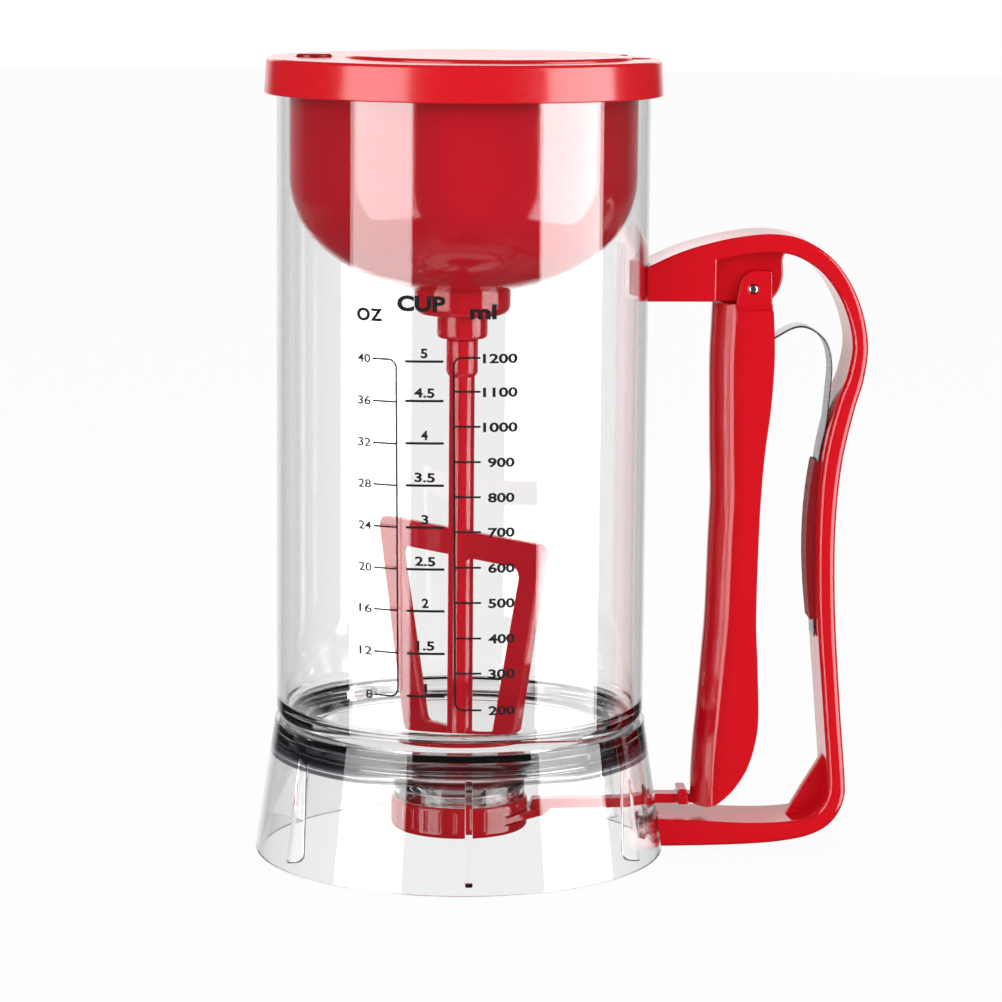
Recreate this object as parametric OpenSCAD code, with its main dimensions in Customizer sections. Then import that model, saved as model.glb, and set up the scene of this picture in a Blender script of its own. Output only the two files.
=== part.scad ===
// Batter dispenser with a battery mixer in its lid and a trigger valve in its base.
// Millimetres, +Z up. The origin is the middle of the ring that the skirt stands on,
// and the handle points along +X. The lid, its motor and the paddle lift out together.

/* [Container] */
// Outside radius of the clear measuring tube
tube_r = 57.5; // [52:0.5:64]
// Wall of the tube
tube_wall = 2.6; // [2:0.1:3.4]
// Height of the tube's upper rim
tube_top = 242.8; // [225:1:275]
// Radius of the tube's rounded lower corner
tube_corner_r = 4.5; // [3.5:0.5:5]
// Length of the outlet below the funnel
outlet_l = 2.5; // [2:0.1:4]
// Radius of the outlet that the batter runs through
outlet_r = 7.5; // [6:0.5:8]
// Length of the foot ring that plugs into the skirt's collar
spigot_h = 6.3; // [4:0.1:7]

/* [Skirt] */
// Radius of the ring that it stands on
foot_r = 64.5; // [62:0.5:70]
// Height of the skirt
skirt_h = 43.5; // [42:0.5:48]
// Wall of the skirt
skirt_wall = 2.5; // [2:0.1:3]
// Depth of the thick collar that the tube is set in
collar_h = 7; // [6:0.5:8]
// Number of fins under the collar
fin_count = 6; // [4:1:8]
// Thickness of a fin
fin_t = 2.2; // [1.6:0.1:3]

/* [Valve] */
// Radius of the screw cap that holds the slide
cap_r = 21.5; // [21:0.1:23]
// Height of the cap's underside
cap_z = 7.3; // [6.8:0.1:8]
// Height of the cap
cap_h = 9.7; // [9.6:0.1:10.2]
// Width of the slide's plate
gate_w = 32; // [28:0.5:33]
// Thickness of the slide's plate
gate_t = 2.6; // [2.2:0.1:2.7]
// Width of the slide's rod
rod_w = 6; // [5:0.5:7]
// Thickness of the slide's rod
rod_t = 3; // [2.5:0.1:3.2]

/* [Handle] */
// Width of the handle's strap
strap_w = 25; // [22:0.5:28]
// Thickness of the strap in the grip
strap_t = 5.8; // [5:0.1:6.5]
// How far the middle of the strap stands out from the tube at its widest
reach = 65.3; // [64:0.5:74]
// Height of the middle of the strap at the top of the arch
arch_z = 192.2; // [185:0.5:198]
// Height of the middle of the bar at the foot
bar_z = 6.5; // [6:0.1:7]
// Length of the bracket that meets the tube
bracket_l = 20.1; // [16:0.1:21]
// Thickness of the web that carries the trigger's pin
web_t = 12; // [9:0.5:13]

/* [Trigger] */
// Width of the trigger
trigger_w = 22; // [20:0.5:24]
// Wall of the trigger's channel
trigger_wall = 2.2; // [1.8:0.1:2.4]
// Diameter of the pivot pin
pin_d = 3; // [2.5:0.1:4]
// Thickness of an ear that the pin passes through
ear_t = 2.6; // [2:0.1:3]
// Width of the leaf spring
spring_w = 10; // [7:0.5:11]
// Thickness of the leaf spring
spring_t = 0.6; // [0.4:0.05:0.8]

/* [Lid] */
// Thickness of the lid's rim at its lower edge
rim_t = 3.4; // [2.8:0.1:4]
// Height of the lid's rim
lid_h = 11.1; // [9.5:0.1:13]
// Thickness of the lid's top plate
lid_plate = 3.6; // [3.2:0.1:3.9]
// Gap between the motor bowl and the tube's bore
bowl_gap = 1.2; // [0.8:0.1:2]
// Depth of the motor bowl's straight wall below the lid plate
bowl_straight = 31.8; // [28:0.1:36]
// Depth of the motor bowl's rounded end
bowl_round = 36.5; // [33:0.5:38]
// Wall of the motor bowl
bowl_wall = 2.2; // [1.8:0.1:2.6]
// From the edge of the battery door to the lid's lower edge, on the handle's side
door_margin = 9.7; // [9.2:0.1:12]
// From the middle of the power button to the lid's lower edge
button_margin = 15.3; // [14.6:0.1:16]
// From the middle of the power button to the edge of the battery door
button_to_door = 9.6; // [9:0.1:11]
// Thickness of the battery door
door_t = 2.95; // [2.6:0.05:3.2]
// Radius of the power button
button_r = 5.5; // [4.5:0.1:5.5]
// Travel of the power button
button_travel = 1.2; // [0.8:0.1:1.2]
// Diameter of an AA cell
cell_d = 14.5; // [13.9:0.1:14.6]
// Length of an AA cell with its button
cell_l = 50.5; // [49.5:0.1:50.7]
// Radius of the motor's can
motor_r = 12; // [10:0.5:14]
// Length of the motor's can
motor_l = 28; // [24:1:29]

/* [Mixer] */
// Diameter of the steel drive spindle
spindle_d = 5; // [4:0.1:5.4]
// Diameter of the paddle's shaft
shaft_d = 8; // [7.4:0.1:9]
// Half of the paddle's width at its top
paddle_top_w = 39; // [32:0.5:44]
// Half of the paddle's width at its foot
paddle_foot_w = 25; // [20:0.5:27]
// Height of the paddle's frame
paddle_h = 70.8; // [60:0.5:85]
// Width of the paddle frame's members
member_w = 8.4; // [6.5:0.1:10]
// Thickness of the paddle's frame
paddle_t = 3; // [2.4:0.1:4]
// Turn of the paddle at rest, in degrees
paddle_turn = -51.3; // [-90:0.1:0]
// Gap between the paddle's foot and the funnel at the foot's corners
paddle_gap = 2.2; // [1.5:0.1:4]

/* [Fits] */
// Gap between parts that are set or glued together
seat_gap = 0.1; // [0.05:0.01:0.2]
// Gap between curved faces that move past each other
run_gap = 0.3; // [0.3:0.05:0.4]
// Gap between flat faces that slide on each other
slide_gap = 0.15; // [0.1:0.05:0.2]
// Radial gap of a pin or a shaft in its bore
pin_gap = 0.05; // [0.02:0.01:0.08]

/* [Hidden] */
$fn = 96;
fine_fn = 32;
over = 0.5;

// Container
bore_r = tube_r - tube_wall;
corner_r_z = skirt_h + 2.5;
corner_z = corner_r_z - tube_corner_r;
spigot_r = tube_r - tube_corner_r;
spigot_wall = 2.7;
spigot_z = corner_z - spigot_h;

// Valve, from the cap's floor up
cap_floor = 3;
cap_wall = 2.3;
cap_top = cap_z + cap_h;
gate_z = cap_z + cap_floor + slide_gap;
gate_top = gate_z + gate_t;
gasket_z = gate_top + slide_gap / 2;
gasket_t = 2.1;
gasket_wall = 2.6;
gasket_gap = 0.4;

// Funnel floor, from the outlet up to the tube
floor_t = 2.4;
floor_fillet_r = 4;
funnel_r = bore_r - 2.9;
funnel_top = corner_z + 3.5;
funnel_foot = gasket_z + gasket_t + outlet_l;
funnel_slope = atan((funnel_top - funnel_foot) / (funnel_r - outlet_r));
floor_drop = floor_t / cos(funnel_slope);
function funnel_z(r) = funnel_foot + (r - outlet_r) * tan(funnel_slope);

// The boss that carries the cap, and the slide
boss_r = cap_r - 0.9;
boss_wall = 2.6;
cap_in_r = cap_r - cap_wall;
boss_spigot_h = 2.4;
outlet_tube_wall = 3.4;
window_h = gate_t + 0.7;
window_w = gate_w + 1.2;
gate_nose = outlet_r + 2.6;
gate_shoulder = 14;
gate_corner_r = 6;
rod_start = cap_r + 4.5;
rod_low_z = gate_z + 2.4;
rod_high_z = gate_z + 4.2;

// Skirt
skirt_top_r = tube_r + 0.3;
skirt_slope = (foot_r - skirt_top_r) / skirt_h;
function skirt_out(z) = foot_r - z * skirt_slope;
function skirt_in(z) = skirt_out(z) - skirt_wall;
collar_z = corner_z - collar_h;
collar_r = spigot_r + seat_gap;
fin_r = collar_r + 1.4;
fin_foot = 2.2;
fin_angle = 360 / fin_count / 2;
rod_slot_w = rod_w + 4;
rod_slot_low = rod_low_z - 0.6;
rod_slot_high = rod_high_z + rod_t + 1.6;

// Handle: the middle line of its strap, as [share of reach, share of height, share of thickness]
handle_h = arch_z - bar_z;
strap_line = [
    [-0.03, 0.941, 1.00], [0.127, 0.967, 1.00], [0.262, 0.983, 1.00], [0.415, 0.995, 1.00],
    [0.576, 1.000, 1.00], [0.716, 0.990, 0.98], [0.850, 0.957, 0.94], [0.950, 0.902, 0.88],
    [1.000, 0.835, 0.86], [0.982, 0.776, 0.94], [0.935, 0.723, 1.05], [0.879, 0.630, 1.07],
    [0.858, 0.514, 1.00], [0.867, 0.371, 1.00], [0.902, 0.213, 0.95], [0.931, 0.094, 0.97],
    [0.927, 0.057, 1.03], [0.880, 0.026, 1.03], [0.789, 0.007, 1.00], [0.643, -0.001, 1.10],
    [0.475, -0.003, 1.22], [0.268, -0.002, 1.40], [-0.03, 0.000, 1.57]
];
strap_points = [for (p = strap_line) [tube_r + reach * p[0], bar_z + handle_h * p[1], strap_t * p[2]]];
strap_steps = 3;
strap_corner = 1.5;
bracket_x = tube_r + bracket_l;
bracket_z = arch_z - 18.1;
pivot_x = tube_r + reach * 0.49;
pivot_z = arch_z - 14.5;
lug_neck_w = 8;
lug_head_w = 14;
lug_neck_l = 3;
lug_head_l = 2.6;
lug_z = bracket_z + 1.8;
lug_h = 6;
handle_screw_y = 7;
handle_screw_r = 1.5;
handle_screw_l = 16;
screw_seat_x = skirt_in(bar_z) - 3;
screw_seat_r = handle_screw_r + 2.7;
gusset_h = 23;
gusset_l = 13;
gusset_t = 8;

// Trigger: [height as a share of the pivot's, front edge and rear edge from the pivot]
trigger_line = [
    [0.974, -11.8, 6.0], [0.928, -12.1, 6.5], [0.872, -12.4, 6.7], [0.793, -12.2, 5.9],
    [0.715, -11.9, 4.3], [0.635, -11.5, 3.3], [0.552, -12.0, 2.8], [0.422, -12.7, 2.5],
    [0.338, -14.0, 3.2], [0.248, -15.6, 3.8], [0.203, -16.3, 3.1], [0.158, -16.7, 0.5],
    [0.124, -16.9, -3.2], [0.101, -16.7, -6.6], [0.086, -16.0, -9.3], [0.078, -14.7, -11.3]
];
trigger_points = [for (p = trigger_line) [pivot_z * p[0], pivot_x + p[1], pivot_x + p[2]]];
trigger_foot = trigger_points[len(trigger_points) - 1][0];
trigger_steps = 2;
notch_l = 14;
nose_depth = 9;
ear_in = web_t / 2 + 0.4;
ear_out = ear_in + ear_t;
pin_l = 2 * ear_out;
head_x = pivot_x - 12.1;
head_l = 3;
head_w = 12.4;
block_l = 3.4;
block_x = pivot_x - 16.8 - run_gap - block_l;
block_w = 10;
block_h = 5.7;
block_lean = 0.5;

// Leaf spring, from its tip in the channel over the top to the strap, as [share of the way from
// the tip to the strap's inner face at its widest, height over the pivot]
spring_line = [
    [0, -39], [0.013, -34], [0.064, -28], [0.177, -21.6], [0.401, -15.6], [0.568, -12.2],
    [0.697, -12.9], [0.815, -17], [0.859, -24], [0.848, -33]
];
spring_tip_x = pivot_x - 8.1;
spring_span = tube_r + reach - strap_t * 0.43 - spring_tip_x;
spring_tail_shares = [0.69, 0.65, 0.60, 0.55, 0.50, 0.42, 0.37, 0.33];
spring_tail_gap = 0.5;
keeper_w = 16;
keeper_t = 2.7;
keeper_end_t = 1.7;
keeper_peg_r = 1.2;

// Lid
lid_z = tube_top - 6;
lid_top = lid_z + lid_h;
plate_z = lid_top - lid_plate;
lid_draft = 0.7;
lid_gap = 0.4;
lid_skirt_r = tube_r + lid_gap;
lid_r = lid_skirt_r + rim_t;
bowl_r = bore_r - bowl_gap;
bowl_in_r = bowl_r - bowl_wall;
button_x = button_margin - lid_r;
door_left = button_x + button_to_door;
door_r = (lid_r - door_margin - door_left) / 2;
door_x = door_left + door_r;
door_gap = 0.3;
door_z = lid_top + 1 - door_t;
door_hole_r = door_r - 3.2;
pot_wall = 1.6;
pot_floor_z = plate_z - 7.9;
cell_pitch = cell_d + 0.4;
cell_z = plate_z - 1.0 - cell_d / 2;
cell_count = 4;
box_in_x = cell_pitch * cell_count / 2 + 0.3;
box_in_y = cell_l / 2 + 3.2;
box_wall = 1.6;
box_z = cell_z - cell_d / 2 - 0.2;
pack_room = sqrt(pow(bowl_in_r - 0.5, 2) - pow(box_in_y + box_wall, 2));
pack_x = min(door_x, pack_room - box_in_x - box_wall);
post_r = 3.2;
housing_screw_x = box_in_x + box_wall + post_r + 0.3;
housing_screw_y = 14;
housing_screw_r = 1.4;
housing_screw_l = 12;
hook_y = 12;
hook_w = 6;
button_top = lid_top + 1.2;
wing_w = 3.4;
wing_l = 15;
wing_t = 1.1;
wing_z = plate_z - 0.15 - wing_t;
board_z = plate_z - 7.9;
board_t = 1.6;
switch_a = 6;
switch_h = 3.4;
stem_r = 1.6;
peg_r = 1.2;
peg_y = 4.4;

// Motor bowl and drive, from the lid plate down
bowl_z = plate_z - bowl_straight;
bowl_foot = bowl_z - bowl_round;
bowl_power = 2.15;
neck_r = 15;
neck_z = bowl_foot - 7;
tip_r = 7.9;
tip_z = neck_z - 7.4;
motor_z = bowl_foot + 10;
clamp_z = motor_z + motor_l + 1;
clamp_t = 2.4;
clamp_x = 18;
clamp_screw_r = 1.3;
bush_r = 6;
bush_z = neck_z + 1;
seal_r = 5.4;
seal_z = tip_z + 1.2;
seal_t = 4;
motor_shaft_r = 1.15;
hub_r = 4.4;
hub_z = bowl_foot + 3;

// Paddle, from the funnel up
paddle_z = funnel_z(paddle_foot_w) + paddle_gap;
paddle_top = paddle_z + paddle_h;
sleeve_r = shaft_d / 2 + 0.95;
sleeve_top = tip_z - run_gap;
sleeve_l = 10.4;
socket_l = 17;
member_foot = member_w - 1;

red = [0.85, 0.07, 0.13];
dark_red = [0.62, 0.04, 0.08];
clear = [0.88, 0.92, 0.95, 0.35];
steel = [0.72, 0.73, 0.75];
silicone = [0.88, 0.88, 0.87];

// A smooth curve through the points of p, with steps pieces between each two
function blend_at(a, b, c, d, s) =
    0.5 * (2 * b + (c - a) * s + (2 * a - 5 * b + 4 * c - d) * s * s
           + (3 * b - a - 3 * c + d) * s * s * s);
function smooth(p, steps) = concat(
    [for (i = [0:len(p) - 2]) for (k = [0:steps - 1])
        blend_at(p[max(i - 1, 0)], p[i], p[i + 1], p[min(i + 2, len(p) - 1)], k / steps)],
    [p[len(p) - 1]]);

// The unit direction of a plane curve at its point i, and the normal to its left
function unit(v) = v / norm(v);
function along(p, i) =
    let (a = p[max(i - 1, 0)], b = p[min(i + 1, len(p) - 1)]) unit([b[0] - a[0], b[1] - a[1]]);
function left_of(d) = [-d[1], d[0]];
// A plane curve moved sideways by d
function beside(p, d) = [for (i = [0:len(p) - 1]) [p[i][0], p[i][1]] + d * left_of(along(p, i))];
function reversed(p) = [for (i = [len(p) - 1:-1:0]) p[i]];

// A skin over rings of points that all have the same even count. Each end is closed by strips
// from one half of its ring to the other, so a ring may also go round a channel's wall
module skin(rings) {
    n = len(rings[0]);
    last = len(rings) - 1;
    polyhedron(
        points = [for (ring = rings) each ring],
        faces = concat(
            [for (k = [0:n / 2 - 2]) [k, k + 1, n - 2 - k, n - 1 - k]],
            [for (i = [0:last - 1]) for (k = [0:n - 1])
                let (j = (k + 1) % n)
                each [[i * n + k, (i + 1) * n + k, (i + 1) * n + j],
                      [i * n + k, (i + 1) * n + j, i * n + j]]],
            [for (k = [0:n / 2 - 2]) [for (c = [n - 1 - k, n - 2 - k, k + 1, k]) last * n + c]]),
        convexity = 10);
}

// Moves a flat drawing in X and Z to stand upright, w wide about Y = 0
module upright(w) {
    translate([0, w / 2, 0])
        rotate([90, 0, 0])
            linear_extrude(w)
                children();
}

// A quarter circle of radius r about c, from angle a to angle b
function arc(c, r, a, b, n = 10) = [for (i = [0:n]) c + r * [cos(a + (b - a) * i / n), sin(a + (b - a) * i / n)]];

module screw(shank_r, l, head_r, head_h) {
    translate([0, 0, -l])
        cylinder(r = shank_r, h = l + over);
    difference() {
        cylinder(r1 = head_r, r2 = head_r * 0.8, h = head_h);
        for (turn = [0, 90])
            rotate([0, 0, turn])
                translate([-head_r * 0.55, -0.35, head_h * 0.45])
                    cube([head_r * 1.1, 0.7, head_h]);
    }
}

// The clear tube with its funnel floor, outlet and the ring that plugs into the skirt
module container() {
    fillet_c = [bore_r - floor_fillet_r, funnel_z(bore_r - floor_fillet_r) + floor_fillet_r / cos(funnel_slope)];
    color(clear) {
        difference() {
            union() {
                rotate_extrude()
                    polygon(concat(
                        [[spigot_r - spigot_wall, spigot_z], [spigot_r, spigot_z], [spigot_r, corner_z]],
                        arc([spigot_r, corner_r_z], tube_corner_r, -90, 0),
                        [[tube_r, tube_top - 1], [tube_r - 0.6, tube_top],
                         [bore_r + 0.6, tube_top], [bore_r, tube_top - 1]],
                        arc(fillet_c, floor_fillet_r, 0, funnel_slope - 90),
                        [[outlet_r, funnel_z(outlet_r)], [outlet_r, gasket_z + gasket_t],
                         [outlet_r + outlet_tube_wall, gasket_z + gasket_t],
                         [outlet_r + outlet_tube_wall, funnel_z(outlet_r + outlet_tube_wall) - floor_drop],
                         [spigot_r - spigot_wall, funnel_z(spigot_r - spigot_wall) - floor_drop]]));
                rotate_extrude()
                    polygon([
                        [cap_in_r - seat_gap - boss_wall, cap_top - boss_spigot_h],
                        [cap_in_r - seat_gap, cap_top - boss_spigot_h],
                        [cap_in_r - seat_gap, cap_top],
                        [boss_r, cap_top],
                        [boss_r, funnel_z(boss_r) - floor_drop / 2],
                        [cap_in_r - seat_gap - boss_wall, funnel_z(cap_in_r - seat_gap - boss_wall) - floor_drop / 2]]);
                handle_lug(0);
            }
        }
    }
}

// The T-shaped lug on the tube that the handle's bracket slides over, grown by gap
module handle_lug(gap) {
    translate([tube_r - tube_wall / 2, -lug_neck_w / 2 - gap, lug_z - gap])
        cube([tube_wall / 2 + lug_neck_l + gap, lug_neck_w + 2 * gap, lug_h + 2 * gap]);
    translate([tube_r + lug_neck_l - gap, -lug_head_w / 2 - gap, lug_z - gap])
        cube([lug_head_l + 2 * gap, lug_head_w + 2 * gap, lug_h + 2 * gap]);
}

// The clear flared skirt with its collar and fins
module base_skirt() {
    lip_r = tube_corner_r + seat_gap;
    lip_drop = corner_r_z - skirt_h;
    lip_angle = asin(lip_drop / lip_r);
    color(clear)
        difference() {
            union() {
                rotate_extrude()
                    polygon(concat(
                        [[foot_r - skirt_wall + 0.4, 0], [foot_r - 0.4, 0], [foot_r - 0.1, 0.5],
                         [skirt_top_r, skirt_h]],
                        arc([spigot_r, corner_r_z], lip_r, -lip_angle, -90, 8),
                        [[collar_r, corner_z - seat_gap], [collar_r, collar_z],
                         [skirt_in(collar_z), collar_z]]));
                for (i = [0:fin_count - 1])
                    rotate([0, 0, fin_angle + i * 360 / fin_count])
                        upright(fin_t)
                            polygon(concat(
                                [[fin_r, collar_z + over], [fin_r, fin_foot + 2]],
                                arc([fin_r + 2, fin_foot + 2], 2, 180, 270, 5),
                                [[skirt_in(fin_foot) + skirt_wall / 2, fin_foot],
                                 [skirt_in(collar_z) + skirt_wall / 2, collar_z + over]]));
                intersection() {
                    for (side = [-1, 1])
                        translate([screw_seat_x, side * handle_screw_y, bar_z])
                            rotate([0, 90, 0])
                                cylinder(r = screw_seat_r, h = 3 + 2 * skirt_wall);
                    cylinder(r1 = skirt_out(0) - skirt_wall / 2, r2 = skirt_out(skirt_h) - skirt_wall / 2, h = skirt_h);
                }
            }
            rod_slot();
            for (side = [-1, 1])
                translate([screw_seat_x - over, side * handle_screw_y, bar_z])
                    rotate([0, 90, 0])
                        cylinder(r = handle_screw_r + 0.3, h = 3 + 3 * skirt_wall);
        }
}

// The slot in the skirt that the rod runs through, with round ends
module rod_slot() {
    slot_r = (rod_slot_high - rod_slot_low) / 2;
    translate([skirt_in(rod_slot_high) - 3, 0, rod_slot_low + slot_r])
        rotate([0, 90, 0]) {
            for (side = [-1, 1])
                translate([0, side * (rod_slot_w / 2 - slot_r + 1), 0])
                    cylinder(r = slot_r, h = 10);
            translate([-slot_r, -rod_slot_w / 2 + slot_r - 1, 0])
                cube([2 * slot_r, rod_slot_w - 2 * slot_r + 2, 10]);
        }
}

module outlet_gasket() {
    color(silicone)
        translate([0, 0, gasket_z])
            difference() {
                cylinder(r = outlet_r + gasket_wall, h = gasket_t);
                translate([0, 0, -over])
                    cylinder(r = outlet_r + gasket_gap, h = gasket_t + 2 * over);
            }
}

// The round cap under the outlet, with the window that the slide comes out of
module valve_cap() {
    color(red)
        difference() {
            rotate_extrude()
                polygon(concat(
                    [[outlet_r + 0.8, cap_z], [cap_r - 1.5, cap_z]],
                    arc([cap_r - 1.5, cap_z + 1.5], 1.5, -90, 0, 6),
                    [[cap_r, cap_top - 0.6], [cap_r - 0.6, cap_top], [cap_in_r, cap_top],
                     [cap_in_r, cap_z + cap_floor], [outlet_r + 0.8, cap_z + cap_floor]]));
            translate([cap_in_r * cos(asin(window_w / 2 / cap_in_r)) - 1, -window_w / 2, cap_z + cap_floor])
                cube([cap_r, window_w, window_h]);
            for (i = [0:17])
                rotate([0, 0, 70 + i * 220 / 17])
                    translate([cap_r + 0.35, 0, cap_z + 2])
                        cylinder(r = 0.8, h = cap_h - 3.2, $fn = fine_fn);
        }
}

// The slide: a plate that shuts the outlet, and the cranked rod that draws it
module valve_slide() {
    hw = gate_w / 2;
    color(red) {
        difference() {
            union() {
                translate([0, 0, gate_z])
                    linear_extrude(gate_t)
                        polygon(concat(
                            arc([-gate_nose + gate_corner_r, hw - gate_corner_r], gate_corner_r, 180, 90, 6),
                            [[gate_shoulder, hw], [rod_start, rod_w / 2],
                             [rod_start, -rod_w / 2], [gate_shoulder, -hw]],
                            arc([-gate_nose + gate_corner_r, -hw + gate_corner_r], gate_corner_r, 270, 180, 6)));
                upright(rod_w)
                    polygon([
                        [cap_r + 0.8, gate_z], [rod_start + 0.5, gate_z], [rod_start + 3, rod_low_z],
                        [skirt_in(rod_low_z) - 8, rod_low_z + 0.3], [skirt_in(rod_high_z) - 1, rod_high_z],
                        [head_x + head_l, rod_high_z], [head_x + head_l, rod_high_z + rod_t],
                        [skirt_in(rod_high_z) - 1.6, rod_high_z + rod_t],
                        [skirt_in(rod_low_z) - 8.6, rod_low_z + rod_t + 0.3],
                        [cap_r + 1.6, rod_low_z + rod_t], [cap_r + 0.8, rod_low_z + 1]]);
                upright(block_w)
                    polygon([
                        [block_x, rod_high_z], [block_x + block_l, rod_high_z],
                        [block_x + block_l - block_lean, rod_high_z + block_h], [block_x, rod_high_z + block_h]]);
                translate([head_x, -head_w / 2, rod_high_z])
                    cube([head_l, head_w, rod_t + 2.6]);
            }
        }
    }
}

// The handle: one moulding with a bracket, an arch, a grip strap and a bar to the skirt
module handle() {
    color(red)
        difference() {
            union() {
                strap(strap_path);
                bracket();
                web();
                gusset();
            }
            cylinder(r = tube_r + seat_gap, h = tube_top);
            cylinder(r1 = foot_r + seat_gap, r2 = skirt_top_r + seat_gap, h = skirt_h);
            handle_lug(seat_gap);
            translate([tube_r - 1, -lug_neck_w / 2 - seat_gap, bracket_z - 1])
                cube([lug_neck_l + 1, lug_neck_w + 2 * seat_gap, 4]);
            translate([tube_r + lug_neck_l - seat_gap, -lug_head_w / 2 - seat_gap, bracket_z - 1])
                cube([lug_head_l + 2 * seat_gap, lug_head_w + 2 * seat_gap, 4]);
            translate([pivot_x, 0, pivot_z])
                rotate([90, 0, 0])
                    cylinder(r = pin_d / 2 + 0.01, h = strap_w, center = true);
            for (side = [-1, 1])
                translate([screw_seat_x, side * handle_screw_y, bar_z])
                    rotate([0, 90, 0])
                        cylinder(r = handle_screw_r + pin_gap, h = handle_screw_l + 1);
            keeper_pegs(0.02);
        }
}

// One cross-section of the strap: a rectangle t thick with rounded corners, across direction d
function strap_ring(p, d) =
    let (side = left_of(d), t = p[2], c = strap_corner)
    [for (q = [[1, 1, 0], [-1, 1, 90], [-1, -1, 180], [1, -1, 270]]) for (k = [0:3])
        let (a = q[2] + k * 30,
             u = q[0] * (strap_w / 2 - c) + c * cos(a),
             v = q[1] * (t / 2 - c) + c * sin(a))
        [p[0] + side[0] * v, u, p[1] + side[1] * v]];

module strap(path) {
    skin([for (i = [0:len(path) - 1]) strap_ring(path[i], along(path, i))]);
}

// The block between the tube and the web, under the arch
module bracket() {
    upright(strap_w - 0.4)
        polygon([
            [tube_r - 2, bracket_z], [bracket_x, bracket_z], [bracket_x, strap_height(bracket_x)],
            [tube_r + 8, strap_height(tube_r + 8)], [tube_r - 2, strap_height(tube_r) - 1]]);
}

// Height of the strap's middle over x, on its way up from the tube
function strap_height(x) = lookup(x, [for (i = [0:4]) [strap_points[i][0], strap_points[i][1]]]);

// The narrow web under the arch, with a curved rear edge
module web() {
    rear = smooth([
        [pivot_x + 5.5, bracket_z - 0.6], [pivot_x + 7.8, bracket_z + 2.2], [pivot_x + 9.3, bracket_z + 6.2],
        [pivot_x + 9.4, bracket_z + 10], [pivot_x + 9.4, bracket_z + 13], [pivot_x + 11.5, arch_z - 1.2]], 4);
    upright(web_t)
        polygon(concat([[bracket_x - 1, arch_z - 3], [bracket_x - 1, bracket_z - 0.6]], rear));
}

// The web in the lower corner
module gusset() {
    corner_x = tube_r + reach * 0.93;
    foot_x = corner_x - 1.5 - gusset_l;
    upright(gusset_t)
        polygon([[corner_x - 1.5, bar_z + gusset_h], [foot_x, bar_z + strap_t * 0.6], [foot_x, bar_z],
                 [corner_x - strap_t, bar_z + 2], [corner_x - 1, bar_z + 1.2 * strap_t],
                 [corner_x + 0.5, bar_z + gusset_h]]);
}

module handle_screws() {
    color(steel)
        for (side = [-1, 1])
            translate([screw_seat_x, side * handle_screw_y, bar_z])
                rotate([0, -90, 0])
                    screw(handle_screw_r, handle_screw_l, 3, 2);
}

module pivot_pin() {
    color(steel)
        translate([pivot_x, 0, pivot_z])
            rotate([90, 0, 0])
                cylinder(r = pin_d / 2, h = pin_l, center = true);
}

// The trigger: a channel that is open to the rear, with a notch for the rod and two ears
module trigger() {
    profile = smooth(trigger_points, trigger_steps);
    color(red)
        difference() {
            union() {
                skin([for (p = reversed(profile)) trigger_ring(p[0], p[1], p[2])]);
                for (side = [-1, 1])
                    ear(side);
            }
            translate([pivot_x, 0, pivot_z])
                rotate([90, 0, 0])
                    cylinder(r = pin_d / 2 + pin_gap, h = trigger_w + 2, center = true);
            translate([block_x, -rod_w / 2 - 0.5, trigger_foot - 1])
                cube([notch_l, rod_w + 1, rod_high_z + rod_t + 1.3 - trigger_foot + 1]);
        }
}

// A channel section at height z: an elliptical nose at front, straight sides to rear
function trigger_ring(z, front, rear) =
    let (depth = min(nose_depth, (rear - front) * 0.85),
         hw = trigger_w / 2, n = 8,
         t = min(trigger_wall, depth * 0.5))
    concat(
        [[rear, hw, z]],
        [for (k = [0:n]) let (a = 90 + k * 180 / n) [front + depth + depth * cos(a), hw * sin(a), z]],
        [[rear, -hw, z], [rear, -hw + trigger_wall, z]],
        [for (k = [0:n])
            let (a = 270 - k * 180 / n)
            [front + depth + (depth - t) * cos(a), (hw - trigger_wall) * sin(a), z]],
        [[rear, hw - trigger_wall, z]]);

module ear(side) {
    top = trigger_points[0][0];
    rear = trigger_points[0][2];
    outline = concat(
        [[rear - 1, top - 11], [rear, top - 0.6], [pivot_x + 5.7, pivot_z + 5.6]],
        arc([pivot_x + 1, pivot_z + 0.4], 5.4, 78, 176, 8),
        [[pivot_x - 5.4, top - 0.6], [pivot_x - 5, top - 11]]);
    translate([0, side * (ear_in + ear_out) / 2, 0])
        upright(ear_t)
            polygon(outline);
    shoulder_out = trigger_w / 2 - 0.4;
    translate([pivot_x - 5.4, side > 0 ? ear_in : -shoulder_out, top - 4])
        cube([rear - 0.4 - pivot_x + 5.4, shoulder_out - ear_in, 3.7]);
}

function spring_path() = smooth(concat(
    [for (p = spring_line) [spring_tip_x + spring_span * p[0], pivot_z + p[1]]],
    [for (share = spring_tail_shares)
        [strap_face(bar_z + handle_h * share) - spring_tail_gap, bar_z + handle_h * share]]), 4);

// The strap's inner face in the grip, as [height, x] from its foot up
strap_path = smooth(strap_points, strap_steps);
grip_face = [
    for (i = [strap_steps * 16:-1:strap_steps * 9])
        let (p = strap_path[i], side = left_of(along(strap_path, i)))
        [p[1] - side[1] * p[2] / 2, p[0] - side[0] * p[2] / 2]
];
function strap_face(z) = lookup(z, grip_face);
// The points of the grip's inner face from height low to high, moved by dx
function face_line(low, high, dx) = concat(
    [[strap_face(low) + dx, low]],
    [for (p = grip_face) if (p[0] > low && p[0] < high) [p[1] + dx, p[0]]],
    [[strap_face(high) + dx, high]]);

module leaf_spring() {
    path = spring_path();
    color(steel)
        upright(spring_w)
            polygon(concat(beside(path, spring_t / 2), reversed(beside(path, -spring_t / 2))));
}

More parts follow.
